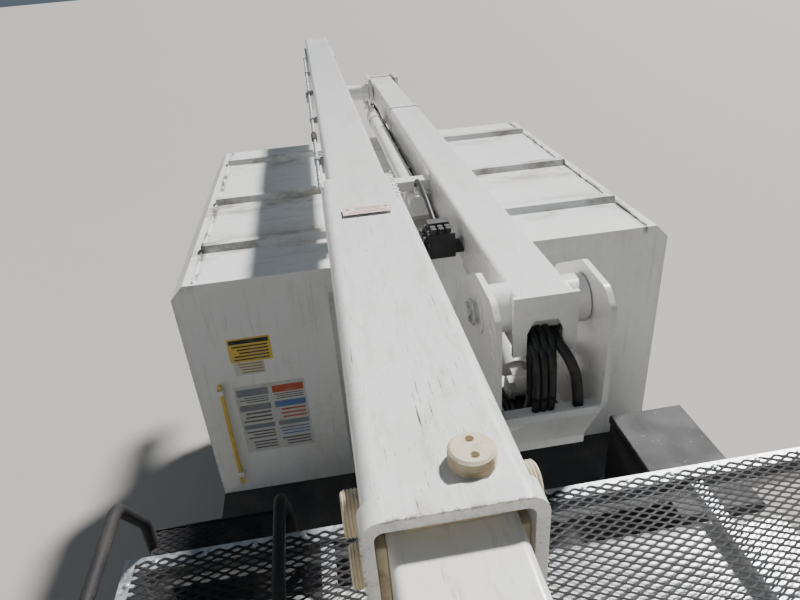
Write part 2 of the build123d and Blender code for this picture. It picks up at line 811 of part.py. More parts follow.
flare_width = 45
flare_reach = 24
with BuildPart() as arch_flares:
    for side in (1, -1):
        reach = sorted((side * (fender_y - fender_wall + 4), side * (fender_y + flare_reach)))
        with BuildSketch(lengthwise(reach[1])):
            with Locations((front_axle_x, wheel_z + 40)):
                Circle(arch_radius + flare_width)
                Circle(arch_radius, mode=Mode.SUBTRACT)
        extrude(amount=reach[1] - reach[0])
    add(block((cab_firewall + panel_gap, nose_x), (-fender_y - 50, fender_y + 50), (810, 1200)),
        mode=Mode.INTERSECT)

nose_form = fender_solid(0)
nose_space = fender_solid(fender_wall)
with BuildPart() as front_fenders:
    add(nose_form)
    add(nose_space, mode=Mode.SUBTRACT)
    add(block((cab_firewall - 50, nose_x - fender_wall), (-fender_inner, fender_inner), (600, 1500)),
        mode=Mode.SUBTRACT)
    add(block((cab_firewall - 50, 3900), (-fender_inner - 200, fender_inner + 200), (600, 780)),
        mode=Mode.SUBTRACT)
    add(block((cab_firewall - 50, nose_x - fender_wall), (-hood_half_width, hood_half_width), (1200, 1500)),
        mode=Mode.SUBTRACT)
    add(cross_rod(front_axle_x, wheel_z + 40, arch_radius, -fender_y - 50, fender_y + 50), mode=Mode.SUBTRACT)
    add(block((nose_x - 60, nose_x + 10), (-grille_y, grille_y), grille_z), mode=Mode.SUBTRACT)
    add(block((nose_x - 60, nose_x + 10), (-rail_outer - 20, rail_outer + 20), (600, rail_top + 5)),
        mode=Mode.SUBTRACT)
    for side in (1, -1):
        add(block((nose_x - 60, nose_x + 10), sorted((side * lamp_y[0], side * lamp_y[1])), lamp_z),
            mode=Mode.SUBTRACT)
        add(block((cab_firewall + panel_gap, cab_firewall + 60),
                  sorted((side * (fender_inner - 40), side * fender_inner)), (900, 1150)), mode=Mode.SUBTRACT)
        add(block((nose_x - 70, nose_x - 4), sorted((side * (rail_outer - 60), side * rail_outer)),
                  (rail_top, rail_top + 25)))
    add(arch_flares.part)
save(front_fenders.part, "front_fenders")

# Hood: a crowned plate hinged along its rear edge, with a raised middle
with BuildPart() as hood:
    add(side_plate(hood_line + [(x, z - hood_wall) for x, z in reversed(hood_line)],
                   -hood_half_width + panel_gap, hood_half_width - panel_gap))
    chamfer(hood.edges().group_by(Axis.X)[-1].sort_by(Axis.Z)[-1], length=14)
    for side in (1, -1):
        raised = side_plate([(hood_line[0][0] + 60, hood_line[0][1] - 8), (3400, 1468), (3800, 1412),
                             (hood_front_x - 50, 1340), (3400, 1430)], *sorted((side * 380, side * 560)))
        add(raised)
    for side in (1, -1):
        add(cross_rod(*hood_hinge, 7, *sorted((side * (hood_half_width - 12), side * (hood_half_width + 12)))))
save(hood.part, "hood")

# Grille: a frame with horizontal bars and one upright, set in the nose
grille_bars = 6
with BuildPart() as grille:
    grille_x = (nose_x - 22, nose_x + 4)
    gap = face_clearance
    add(block(grille_x, (-grille_y + gap, grille_y - gap), (grille_z[0] + gap, grille_z[1] - gap)))
    inner = ((-grille_y + 35, grille_y - 35), (grille_z[0] + 35, grille_z[1] - 35))
    add(block((nose_x - 40, nose_x + 40), *inner), mode=Mode.SUBTRACT)
    pitch = (inner[1][1] - inner[1][0]) / grille_bars
    for bar in range(1, grille_bars):
        z = inner[1][0] + bar * pitch
        add(block((nose_x - 18, nose_x), (-grille_y + 30, grille_y - 30), (z - 9, z + 9)))
    add(block((nose_x - 20, nose_x - 4), (-20, 20), (grille_z[0] + 20, grille_z[1] - 20)))
save(grille.part, "grille")

# Lamps: two headlamps in the nose and two tail lamps on the chip box
tail_lamp_z = 940
lamp_board_x = box_rear + tail_door_thickness + 20
lamp_board_sheet = 12
tail_lamp_y = 1040
with BuildPart() as lamps:
    for side in (1, -1):
        add(block((nose_x - 50, nose_x + 6),
                  sorted((side * (lamp_y[0] + face_clearance), side * (lamp_y[1] - face_clearance))),
                  (lamp_z[0] + face_clearance, lamp_z[1] - face_clearance)))
        lamp_span = sorted((side * (tail_lamp_y - 90), side * (tail_lamp_y + 90)))
        add(block((lamp_board_x - 24, lamp_board_x), lamp_span, (tail_lamp_z - 50, tail_lamp_z + 50)))
save(lamps.part, "lamps")

# Front bumper: a channel bent back at its ends
bumper_z = (540, 790)
bumper_outline = [(bumper_x, 620), (bumper_x, -620), (bumper_x - 60, -900), (bumper_x - 200, -cab_half_width),
                  (bumper_x - 200 - bumper_wall, -cab_half_width + bumper_wall),
                  (bumper_x - 60 - bumper_wall, -900 + bumper_wall), (bumper_inner, -620), (bumper_inner, 620),
                  (bumper_x - 60 - bumper_wall, 900 - bumper_wall),
                  (bumper_x - 200 - bumper_wall, cab_half_width - bumper_wall),
                  (bumper_x - 200, cab_half_width), (bumper_x - 60, 900)]
with BuildPart() as front_bumper:
    with BuildSketch(level(bumper_z[0])):
        with BuildLine():
            Polyline(*bumper_outline, close=True)
        make_face()
    extrude(amount=bumper_z[1] - bumper_z[0])
    for z in bumper_z:
        lip = (z, z + bumper_wall) if z == bumper_z[0] else (z - bumper_wall, z)
        lip_half = 600 if z == bumper_z[0] else rail_outer - rail_flange - 20
        add(block((bumper_inner - 50, bumper_inner), (-lip_half, lip_half), lip))
save(front_bumper.part, "front_bumper")

# Subframe on the rails, with the deck sheet and its skirts on it
subframe_height = deck_top - deck_sheet - rail_top
subframe_front = cab_back - 60
subframe_members = (box_rear + 150, -2200, -1600, -1000, -500, 0, 600, subframe_front - 60)
with BuildPart() as subframe:
    for side in (1, -1):
        add(block((box_rear + 20, subframe_front), sorted((side * (rail_outer - 90), side * rail_outer)),
                  (rail_top, deck_top - deck_sheet)))
    for x in subframe_members:
        add(block((x - 30, x + 30), (-1100, 1100), (deck_top - deck_sheet - 70, deck_top - deck_sheet)))
save(subframe.part, "subframe")

skirt_height = 110
with BuildPart() as deck:
    deck_x = (box_front + face_clearance, cab_back - 40)
    add(block(deck_x, (-deck_half_width, deck_half_width), (deck_top - deck_sheet, deck_top)))
    for side in (1, -1):
        add(block(deck_x, sorted((side * (deck_half_width - 8), side * deck_half_width)),
                  (deck_top - skirt_height, deck_top - deck_sheet)))
save(deck.part, "deck")

# Side boxes hung under the deck, and the black tool box that stands on it
side_box_x = (-330, 640)
side_box_z = (520, deck_top - deck_sheet - 70)
with BuildPart() as side_boxes:
    for side in (1, -1):
        add(block(side_box_x, sorted((side * 690, side * (deck_half_width - 10))), side_box_z))
        add(block((side_box_x[0] + 40, side_box_x[1] - 40),
                  sorted((side * (deck_half_width - 10), side * (deck_half_width - 2))),
                  (side_box_z[0] + 35, side_box_z[1] - 35)))
save(side_boxes.part, "side_boxes")

tool_box_wall = 12
tool_box_z = (deck_top, deck_top + tool_box_height - tool_box_lid)
lid_z = (tool_box_z[1] + face_clearance, deck_top + tool_box_height)
lid_hinge = (tool_box_y[0] - 8, tool_box_z[1] + face_clearance)
knuckle_radius = 7
knuckle_length = 80
hinge_ends = ((tool_box_x[0] + 60, 1), (tool_box_x[1] - 60, -1))


def knuckle_span(start, way, place):
    """The X span of a lid hinge's first or second knuckle, counted inwards from the hinge's end."""
    near = start + way * place * (knuckle_length + face_clearance)
    return sorted((near, near + way * knuckle_length))


with BuildPart() as tool_box:
    add(block(tool_box_x, tool_box_y, tool_box_z))
    for start, way in hinge_ends:
        span = knuckle_span(start, way, 0)
        add(long_rod(*lid_hinge, knuckle_radius, *span))
        add(block(span, (lid_hinge[0], tool_box_y[0]), (tool_box_z[1] - 18, tool_box_z[1])))
    add(block((tool_box_x[0] + tool_box_wall, tool_box_x[1] - tool_box_wall),
              (tool_box_y[0] + tool_box_wall, tool_box_y[1] - tool_box_wall),
              (tool_box_z[0] + tool_box_wall, tool_box_z[1] + 1)), mode=Mode.SUBTRACT)
save(tool_box.part, "tool_box")

with BuildPart() as tool_box_lid_part:
    add(block((tool_box_x[0] - 6, tool_box_x[1] + 6), (tool_box_y[0] - 6, tool_box_y[1] + 6), lid_z))
    add(block((tool_box_x[0] + 12, tool_box_x[1] - 12), (tool_box_y[0] + 12, tool_box_y[1] - 12),
              (lid_z[0] - 1, lid_z[1] - 10)), mode=Mode.SUBTRACT)
    fillet(tool_box_lid_part.edges().group_by(Axis.Z)[-1], radius=8)
    for start, way in hinge_ends:
        span = knuckle_span(start, way, 0)
        add(block((span[0] - 2, span[1] + 2), (tool_box_y[0] - 20, tool_box_y[0] + 3),
                  (lid_z[0] - 1, lid_z[0] + knuckle_radius + 3)), mode=Mode.SUBTRACT)
        add(long_rod(*lid_hinge, knuckle_radius, *knuckle_span(start, way, 1)))
save(tool_box_lid_part.part, "tool_box_lid")

# Chip box: an open-backed body with chamfered upper sides, a recessed front wall and roof ribs
box_half = box_width / 2
box_outline = [(-box_half, deck_top), (-box_half, box_top - box_chamfer), (-box_half + box_chamfer, box_top),
               (box_half - box_chamfer, box_top), (box_half, box_top - box_chamfer), (box_half, deck_top)]
inner_half = box_half - box_wall
box_inner_outline = [(-inner_half, deck_top + box_wall), (-inner_half, box_top - box_chamfer - 10),
                     (-inner_half + box_chamfer - 10, box_top - box_wall),
                     (inner_half - box_chamfer + 10, box_top - box_wall),
                     (inner_half, box_top - box_chamfer - 10), (inner_half, deck_top + box_wall)]
rib_places = (box_front - 400, box_front - 1120, box_front - 1970)
rib_width = 90
rib_height = 34
seam_y = box_half - box_chamfer - 47
tail_x = box_rear + tail_door_thickness
tail_hinge_y = box_half - 8
tail_hinge_x = box_rear - 6
tail_door_z = (deck_top + 10, box_top - box_chamfer - 15)
tail_strap_z = (tail_door_z[0] + 150, (tail_door_z[0] + tail_door_z[1]) / 2, tail_door_z[1] - 150)
with BuildPart() as chip_box:
    add(cross_plate(box_outline, tail_x + face_clearance + panel_gap, box_front))
    add(cross_plate(box_inner_outline, box_rear - 10, box_front - box_wall - box_recess_depth),
        mode=Mode.SUBTRACT)
    recess = block((box_front - box_recess_depth, box_front + 10),
                   (-box_recess_width / 2, box_recess_width / 2), (deck_top + 60, box_top - 130))
    add(recess, mode=Mode.SUBTRACT)
    for x in rib_places:
        with BuildSketch(lengthwise(seam_y)):
            with Locations((x, box_top)):
                Trapezoid(rib_width, rib_height, 60, align=(Align.CENTER, Align.MIN))
        extrude(amount=2 * seam_y)
    for side in (1, -1):
        add(block((tail_x + 60, box_front - 20), sorted((side * (seam_y - 4), side * (seam_y + 4))),
                  (box_top, box_top + 8)))
    for side in (1, -1):
        add(block((tail_x + 20, box_front - 60), sorted((side * 350, side * 420)),
                  (deck_top - deck_sheet, deck_top)))
        add(block((lamp_board_x, lamp_board_x + lamp_board_sheet), sorted((side * 460, side * (box_half - 40))),
                  (tail_lamp_z - 60, deck_top + 5)))
        for z in tail_strap_z:
            for low, high in ((z + 25 + face_clearance, z + 55), (z - 55, z - 25 - face_clearance)):
                add(upright(tail_hinge_x, side * tail_hinge_y, 9, low, high))
                hinge_leaf = sorted((side * (tail_hinge_y - 3), side * box_half))
                add(block((tail_hinge_x, tail_x + 60), hinge_leaf, (low, high)))
save(chip_box.part, "chip_box")

# Tail doors: two framed leaves hung on the rear corners
door_gap = 4


def tail_door(side):
    span = sorted((side * door_gap, side * (box_half - 16)))
    with BuildPart() as leaf:
        add(block((box_rear, tail_x), span, tail_door_z))
        add(block((box_rear - 1, box_rear + 12), (span[0] + 70, span[1] - 70),
                  (tail_door_z[0] + 70, (tail_door_z[0] + tail_door_z[1]) / 2 - 35)), mode=Mode.SUBTRACT)
        add(block((box_rear - 1, box_rear + 12), (span[0] + 70, span[1] - 70),
                  ((tail_door_z[0] + tail_door_z[1]) / 2 + 35, tail_door_z[1] - 70)), mode=Mode.SUBTRACT)
        for z in tail_strap_z:
            add(upright(tail_hinge_x, side * tail_hinge_y, 9, z - 25, z + 25))
            strap = sorted((side * (box_half - 330), side * tail_hinge_y))
            add(block((box_rear - 6, box_rear), strap, (z - 25, z + 25)))
    return leaf.part


save(tail_door(1), "tail_door_left")
save(tail_door(-1), "tail_door_right")

# Hitch: a plate between the rails' ends with four holes for a coupling
hitch_plate_thickness = 16
hitch_spacing_y = 160
hitch_spacing_z = 110
hitch_z = 620
with BuildPart() as hitch:
    plate_x = (frame_rear - hitch_plate_thickness, frame_rear)
    add(block(plate_x, (-rail_outer - 40, rail_outer + 40), (480, rail_top)))
    with BuildSketch(crosswise(plate_x[0] - 10)):
        with Locations((0, hitch_z)):
            with GridLocations(hitch_spacing_y, hitch_spacing_z, 2, 2):
                Circle(9)
    extrude(amount=hitch_plate_thickness + 20, mode=Mode.SUBTRACT)
    for side in (1, -1):
        add(block((frame_rear, frame_rear + 160), sorted((side * (rail_outer - 60), side * (rail_outer - 48))),
                  (480, rail_low)))
save(hitch.part, "hitch")

# Outriggers: square sockets on a cross beam, with legs that slide down to the ground
with BuildPart() as outrigger_sockets:
    for side in (1, -1):
        y = side * outrigger_y
        half = outrigger_socket / 2
        hole = outrigger_leg / 2 + face_clearance
        add(block((outrigger_x - half, outrigger_x + half), (y - half, y + half),
                  (480, deck_top - deck_sheet - 1)))
        add(block((outrigger_x - hole, outrigger_x + hole), (y - hole, y + hole),
                  (400, deck_top - deck_sheet - 40)), mode=Mode.SUBTRACT)
        inner = sorted((side * rail_outer, side * (outrigger_y - half)))
        add(block((outrigger_x - 50, outrigger_x + 50), inner, (rail_top - 180, rail_top - 60)))
save(outrigger_sockets.part, "outrigger_sockets")


def outrigger(side):
    y = side * outrigger_y
    half = outrigger_leg / 2
    with BuildPart() as leg:
        add(block((outrigger_x - half, outrigger_x + half), (y - half, y + half),
                  (outrigger_foot_z + 18, deck_top - deck_sheet - 60)))
        add(upright(outrigger_x, y, 105, outrigger_foot_z, outrigger_foot_z + 18))
    return leg.part


save(outrigger(1), "outrigger_leg_left")
save(outrigger(-1), "outrigger_leg_right")

# Cab guard: two posts, an angle-iron frame over the cab and expanded metal on it
guard_front = guard_rear + guard_length
post_size = 50
post_y = 1120
with BuildPart() as cab_guard:
    for side in (1, -1):
        add(block((guard_rear - post_size, guard_rear), sorted((side * (post_y - post_size), side * post_y)),
                  (deck_top, guard_top - guard_angle)))
        edge_y = sorted((side * (guard_half_width - guard_angle), side * guard_half_width))
        add(block((guard_rear - guard_angle, guard_front), edge_y, (guard_top - guard_angle_wall, guard_top)))
        edge_y = sorted((side * (guard_half_width - guard_angle_wall), side * guard_half_width))
        add(block((guard_rear - guard_angle, guard_front), edge_y, (guard_top - guard_angle, guard_top)))
        brace = [(guard_rear, guard_top - 420), (guard_rear, guard_top - 480),
                 (guard_rear + 30, guard_top - 480), (guard_rear + 30, guard_top - guard_angle),
                 (guard_rear, guard_top - guard_angle)]
        add(side_plate(brace, *sorted((side * (post_y - post_size + 20), side * (post_y - 20)))))
    for x in (guard_rear - guard_angle, guard_front - guard_angle):
        add(block((x, x + guard_angle), (-guard_half_width, guard_half_width),
                  (guard_top - guard_angle_wall, guard_top)))
    add(block((guard_rear - guard_angle, guard_rear - guard_angle + guard_angle_wall),
              (-guard_half_width, guard_half_width), (guard_top - guard_angle, guard_top)))
    add(block((guard_front - guard_angle_wall, guard_front), (-guard_half_width, guard_half_width),
              (guard_top - guard_angle, guard_top)))
    add(block((guard_rear - post_size, guard_rear), (-post_y, post_y), (guard_top - guard_angle - 40,
                                                                       guard_top - guard_angle)))
    for side in (1, -1):
        pad = sorted((side * 560, side * 600))
        add(block((guard_rear - 25, guard_front - guard_angle_wall), pad,
                  (guard_top - guard_angle, guard_top - 12)))
        add(block((guard_front - 90, guard_front - guard_angle), pad, (cab_roof - 2, guard_top - guard_angle)))
save(cab_guard.part, "cab_guard")

with BuildPart() as guard_mesh:
    add(block((guard_rear - guard_angle + guard_angle_wall, guard_front - guard_angle_wall),
              (-guard_half_width + guard_angle_wall, guard_half_width - guard_angle_wall),
              (guard_top - guard_angle_wall - mesh_sheet, guard_top - guard_angle_wall)))
save(guard_mesh.part, "guard_mesh")

# Handrails: two bent tubes beside the steps, from the deck over to the guard
# Each column is a corner of the tube: how far ahead of the guard's rear edge and how high over the guard
handrail_y = (-deck_half_width + 120, -deck_half_width + 530)
handrail_corners = (
    ((-95, 90), (25, 280), (345, 280), (445, 12)),
    ((-115, 30), (-25, 175), (265, 165), (355, 12)),
)
handrail_paths = []
for y, corners in zip(handrail_y, handrail_corners):
    foot = (guard_rear + corners[0][0], y, deck_top)
    handrail_paths.append([foot] + [(guard_rear + ahead, y, guard_top + over) for ahead, over in corners])
with BuildPart() as handrails:
    for path_points in handrail_paths:
        add(bent_tube(path_points, handrail_radius, 60))
        add(upright(path_points[0][0], path_points[0][1], 40, deck_top, deck_top + 8))
        add(upright(path_points[-1][0], path_points[-1][1], 32, guard_top, guard_top + 10))
        add(upright(path_points[-1][0], path_points[-1][1], handrail_radius + 2, guard_top - guard_angle_wall,
                    guard_top + 1))
        end_x, end_y, end_z = path_points[-1]
        add(block((end_x - 60, end_x + 60), (end_y - 60, end_y + 60),
                  (guard_top - 60, guard_top - guard_angle_wall)), mode=Mode.SUBTRACT)

# Steps between the handrails, each a folded tray
step_rise = 270
step_heights = [deck_top + step_rise * step for step in (1, 2, 3)] + [guard_top - 3]
step_rear = guard_rear - 150
with BuildPart() as steps:
    for z in step_heights:
        add(block((step_rear, guard_rear - post_size - 4), handrail_y, (z - 5, z)))
        add(block((step_rear, step_rear + 5), handrail_y, (z - 35, z + 6)))

with BuildPart() as access_ladder:
    add(handrails.part)
    add(steps.part)
save(access_ladder.part, "access_ladder")

# Pedestal: a column with a foot plate and gussets, and the slewing ring on top
pedestal_plate = 25
with BuildPart() as pedestal:
    add(block((swing_x - 330, swing_x + 330), (-330, 330), (deck_top, deck_top + pedestal_plate)))
    add(upright(swing_x, 0, pedestal_radius, deck_top, pedestal_top - 40))
    add(upright(swing_x, 0, turntable_radius - 10, pedestal_top - 40, pedestal_top))
    add(upright(swing_x, 0, pedestal_radius - 20, deck_top + pedestal_plate, pedestal_top + 1),
        mode=Mode.SUBTRACT)
    gusset = [(pedestal_radius - 5, deck_top + pedestal_plate), (310, deck_top + pedestal_plate),
              (310, deck_top + pedestal_plate + 40), (pedestal_radius - 5, deck_top + 330)]
    for side in (1, -1):
        add(side_plate([(swing_x + side * x, z) for x, z in gusset], -8, 8))
        add(cross_plate([(side * y, z) for y, z in gusset], swing_x - 8, swing_x + 8))
save(pedestal.part, "pedestal")

# Turret: a turntable with two side plates that lean forward to the lift pivot
turntable_low = pedestal_top + face_clearance
turntable_top = turntable_low + turntable_thickness
turret_high_y = turret_inner_high_y + turret_plate
turret_low_y = turret_inner_low_y - turret_plate
turret_rear = swing_x - 250
turret_front = lift_pivot_x + 207
turret_base_front = swing_x + 300
turret_shoulder_z = lift_pivot_z - 290
turret_outline = [(turret_base_front, turntable_top - 2), (turret_front, turret_shoulder_z),
                  (turret_front, lift_pivot_z + 60), (lift_pivot_x + 150, lift_pivot_z + 112),
                  (lift_pivot_x - 30, lift_pivot_z + 124), (swing_x, lift_pivot_z + 10),
                  (turret_rear, lift_pivot_z - 340), (turret_rear, turntable_top - 2)]
lift_eye_half = 25
lift_eye_radius = 42
lift_base_pin = 22
lug_thickness = 22
with BuildPart() as turret:
    with BuildSketch(level(turntable_low)):
        with Locations((swing_x, 0)):
            Circle(turntable_radius)
        with Locations(((turret_base_front + turret_rear) / 2, (turret_low_y + turret_high_y) / 2)):
            Rectangle(turret_base_front - turret_rear, turret_high_y - turret_low_y)
    extrude(amount=turntable_thickness)
    for low, high in ((turret_low_y, turret_inner_low_y), (turret_inner_high_y, turret_high_y)):
        with BuildSketch(lengthwise(high)) as plate_shape:
            with BuildLine():
                Polyline(*turret_outline, close=True)
            make_face()
            upper = plate_shape.vertices().filter_by(lambda corner: corner.Y > turret_shoulder_z + 50)
            fillet(upper, radius=55)
        extrude(amount=high - low)
    between = (turret_inner_low_y - 1, turret_inner_high_y + 1)
    add(side_plate([(turret_base_front + 18, turntable_top - 2), (turret_front - 15, turret_shoulder_z - 15),
                    (turret_front - 3, turret_shoulder_z - 15), (turret_front - 3, turret_shoulder_z - 35),
                    (turret_base_front + 30, turntable_top - 2)], *between))
    add(block((turret_front - 67, turret_front - 3), between, (turret_shoulder_z - 42, turret_shoulder_z - 30)))
    add(block((turret_rear + 10, turret_rear + 22), between, (turntable_top - 2, turntable_top + 120)))
    for y in (lower_boom_y - lift_eye_half - face_clearance - lug_thickness,
              lower_boom_y + lift_eye_half + face_clearance):
        add(side_plate([(lift_base_x - 60, turntable_top - 2), (lift_base_x - 40, lift_base_z + 20),
                        (lift_base_x - 10, lift_base_z + 42), (lift_base_x + 25, lift_base_z + 35),
                        (lift_base_x + 40, lift_base_z), (lift_base_x + 20, turntable_top - 2)],
                       y, y + lug_thickness))
    add(cross_rod(lift_base_x, lift_base_z, lift_base_pin, lower_boom_y - lift_eye_half - 30,
                  lower_boom_y + lift_eye_half + 30))
    for low, high in ((turret_low_y - 8, turret_low_y), (turret_high_y, turret_high_y + 8)):
        add(cross_rod(lift_pivot_x, lift_pivot_z, 75, low, high))
    add(cross_rod(lift_pivot_x, lift_pivot_z, lift_pin_radius + pin_clearance, turret_low_y - 10,
                  turret_high_y + 10), mode=Mode.SUBTRACT)
save(turret.part, "turret")

# Lift cylinder: a barrel pinned to the turret and a rod that reaches the boom's lugs
lift_run = Vector(lift_eye_x - lift_base_x, 0, lift_eye_z - lift_base_z)
lift_length = lift_run.length
lift_way = lift_run.normalized()
lift_base = Vector(lift_base_x, lower_boom_y, lift_base_z)


def along_lift(distance):
    """A plane across the lift cylinder, this far from its base pin."""
    return Plane(origin=lift_base + lift_way * distance, x_dir=(0, 1, 0), z_dir=lift_way)


lift_barrel_start = 76
lift_bore_start = lift_barrel_start + 8
lift_piston_start = lift_bore_start + 2
lift_collar = 40
with BuildPart() as lift_barrel:
    add(cross_rod(lift_base_x, lift_base_z, lift_eye_radius, lower_boom_y - lift_eye_half,
                  lower_boom_y + lift_eye_half))
    with BuildSketch(along_lift(20)):
        Rectangle(2 * lift_eye_half - 2, 2 * lift_eye_radius - 8)
    extrude(amount=lift_barrel_start - 16)
    with BuildSketch(along_lift(lift_barrel_start)):
        Circle(lift_barrel_radius)
    extrude(amount=lift_barrel_length - lift_barrel_start)
    with BuildSketch(along_lift(lift_barrel_length - lift_collar)):
        Circle(lift_barrel_radius + 5)
    extrude(amount=lift_collar)
    with BuildSketch(along_lift(lift_bore_start)):
        Circle(lift_rod_radius + 8)
    extrude(amount=lift_barrel_length, mode=Mode.SUBTRACT)
    with BuildSketch(along_lift(lift_barrel_length - lift_gland)):
        Circle(lift_barrel_radius + 2)
        Circle(lift_rod_radius + pin_clearance, mode=Mode.SUBTRACT)
    extrude(amount=lift_gland)
    add(cross_rod(lift_base_x, lift_base_z, lift_base_pin + pin_clearance, lower_boom_y - 60,
                  lower_boom_y + 60), mode=Mode.SUBTRACT)
save(lift_barrel.part, "lift_barrel")

with BuildPart() as lift_rod:
    with BuildSketch(along_lift(lift_piston_start)):
        Circle(lift_rod_radius)
    extrude(amount=lift_length - lift_piston_start - lift_eye_radius + 12)
    with BuildSketch(along_lift(lift_piston_start)):
        Circle(lift_rod_radius + 7)
    extrude(amount=lift_piston)
    add(cross_rod(lift_eye_x, lift_eye_z, lift_eye_radius, lower_boom_y - lift_eye_half,
                  lower_boom_y + lift_eye_half))
    add(cross_rod(lift_eye_x, lift_eye_z, 20, lower_boom_y - 60, lower_boom_y + 60), mode=Mode.SUBTRACT)
save(lift_rod.part, "lift_rod")

# Lower boom: a steel beam with pivot bosses at the turret and a slimmer insulating beam in its far end
boss_radius = 82
with BuildPart() as lower_boom:
    add(long_tube(lower_boom_y, lower_boom_middle, lower_boom_size, lower_boom_size, lower_boom_wall,
                  lower_boom_step, lower_boom_front - 12))
    add(cross_rod(lift_pivot_x, lift_pivot_z, boss_radius, turret_inner_low_y + 5, turret_inner_high_y - 5))
    add(block((lower_boom_front - 16, lower_boom_front), (lower_boom_y - lower_boom_size / 2 - 6,
                                                         lower_boom_y + lower_boom_size / 2 + 6),
              (lower_boom_bottom - 10, lower_boom_top + 4)))
    arch = [(-62, lower_boom_bottom - 30), (62, lower_boom_bottom - 30), (62, lower_boom_middle - 28),
            (40, lower_boom_middle + 17), (-40, lower_boom_middle + 17), (-62, lower_boom_middle - 28)]
    arch = [(lower_boom_y + y, z) for y, z in arch]
    add(cross_plate(arch, lower_boom_front - 60, lower_boom_front + 10), mode=Mode.SUBTRACT)
    add(cross_rod(lift_pivot_x, lift_pivot_z, lift_pin_radius, turret_low_y - 20, turret_high_y + 20))
    for y in (lower_boom_y - lift_eye_half - face_clearance - lug_thickness,
              lower_boom_y + lift_eye_half + face_clearance):
        add(side_plate([(lift_eye_x - 110, lower_boom_bottom + 2), (lift_eye_x - 34, lift_eye_z - 34),
                        (lift_eye_x + 30, lift_eye_z - 34), (lift_eye_x + 45, lower_boom_bottom + 2)],
                       y, y + lug_thickness))
    add(long_tube(lower_boom_y, lower_boom_middle, lower_boom_size + 12, lower_boom_size + 12,
                  lower_boom_wall + 6, lower_boom_step, lower_boom_step + 60))
    tip_half = lower_tip_size / 2
    add(block((lower_boom_step - 10, lower_boom_step + 60), (lower_boom_y - tip_half, lower_boom_y + tip_half),
              (lower_boom_middle - tip_half, lower_boom_middle + tip_half)), mode=Mode.SUBTRACT)

tip_end_block = 240
with BuildPart() as lower_boom_tip:
    add(long_tube(lower_boom_y, lower_boom_middle, lower_tip_size - 2 * face_clearance,
                  lower_tip_size - 2 * face_clearance, 12, lower_boom_rear, lower_boom_step + 400, corner=12))
    add(block((lower_boom_rear + 10, lower_boom_rear + tip_end_block),
              (lower_boom_y - lower_tip_size / 2 + 8, lower_boom_y + lower_tip_size / 2 - 8),
              (lower_boom_middle - lower_tip_size / 2 + 8, lower_boom_middle + lower_tip_size / 2 - 8)))
    add(cross_rod(elbow_x, elbow_z, elbow_shaft_radius + pin_clearance, lower_boom_y - 200, lower_boom_y + 200),
        mode=Mode.SUBTRACT)
save(lower_boom_tip.part, "lower_boom_tip")

# Rest pad on the chip box, and the saddle on the lower boom that the upper boom lies in
rest_x = box_rear + 210
with BuildPart() as boom_rest:
    add(block((rest_x - 60, rest_x + 60), (lower_boom_y - 90, lower_boom_y + 90), (box_top, box_top + 10)))
    add(block((rest_x - 12, rest_x + 12), (lower_boom_y - 70, lower_boom_y + 70), (box_top + 10, box_top + 60)))
    tip_low = lower_boom_middle - lower_tip_size / 2 + face_clearance
    add(block((rest_x - 50, rest_x + 50), (lower_boom_y - 85, lower_boom_y + 85),
              (box_top + 60, tip_low - face_clearance)))
save(boom_rest.part, "boom_rest")

saddle_x = box_front - 400
with BuildPart() as saddle:
    boom_side = lower_boom_y - lower_boom_size / 2
    high = elbow_cylinder_z + elbow_cylinder_radius + 12
    add(block((saddle_x - 45, saddle_x + 45), (boom_side - 8, boom_side), (high - 20, lower_boom_top - 20)))
    add(block((saddle_x - 40, saddle_x + 40), (upper_boom_y - 60, boom_side), (high, high + 50)))
    add(block((saddle_x - 40, saddle_x + 40), (upper_boom_y - 80, upper_boom_y + 80),
              (high + 30, upper_boom_bottom - 30)))
    add(block((saddle_x - 60, saddle_x + 60), (upper_boom_y - 110, upper_boom_y + 110),
              (upper_boom_bottom - 30, upper_boom_bottom - face_clearance)))

with BuildPart() as lower_boom_with_saddle:
    add(lower_boom.part)
    add(saddle.part)
save(lower_boom_with_saddle.part, "lower_boom")

# Elbow cylinder along the lower boom: the barrel is clamped to the boom, the rod pulls a chain on a sprocket
clamp_places = (elbow_cylinder_front - 120, elbow_cylinder_rear + 200)
with BuildPart() as elbow_cylinder:
    y = elbow_cylinder_y
    z = elbow_cylinder_z
    add(long_rod(y, z, elbow_cylinder_radius, elbow_cylinder_rear, elbow_cylinder_front))
    add(long_rod(y, z, elbow_cylinder_radius + 5, elbow_cylinder_rear, elbow_cylinder_rear + 70))
    for x in clamp_places:
        add(block((x - 25, x + 25), (y + 20, lower_boom_y - lower_boom_size / 2), (z - 18, z + 18)))
        add(long_rod(y, z, elbow_cylinder_radius + 8, x - 25, x + 25))
    for x in (elbow_cylinder_front - 35, elbow_cylinder_rear + 35):
        add(upright(x, y, 13, z, z + elbow_cylinder_radius + 22))
    add(long_rod(y, z, elbow_bore_radius, elbow_cylinder_rear + 60, elbow_cylinder_front - 60),
        mode=Mode.SUBTRACT)
    add(long_rod(y, z, elbow_rod_radius + pin_clearance, elbow_cylinder_rear - 5, elbow_cylinder_rear + 65),
        mode=Mode.SUBTRACT)
save(elbow_cylinder.part, "elbow_cylinder")

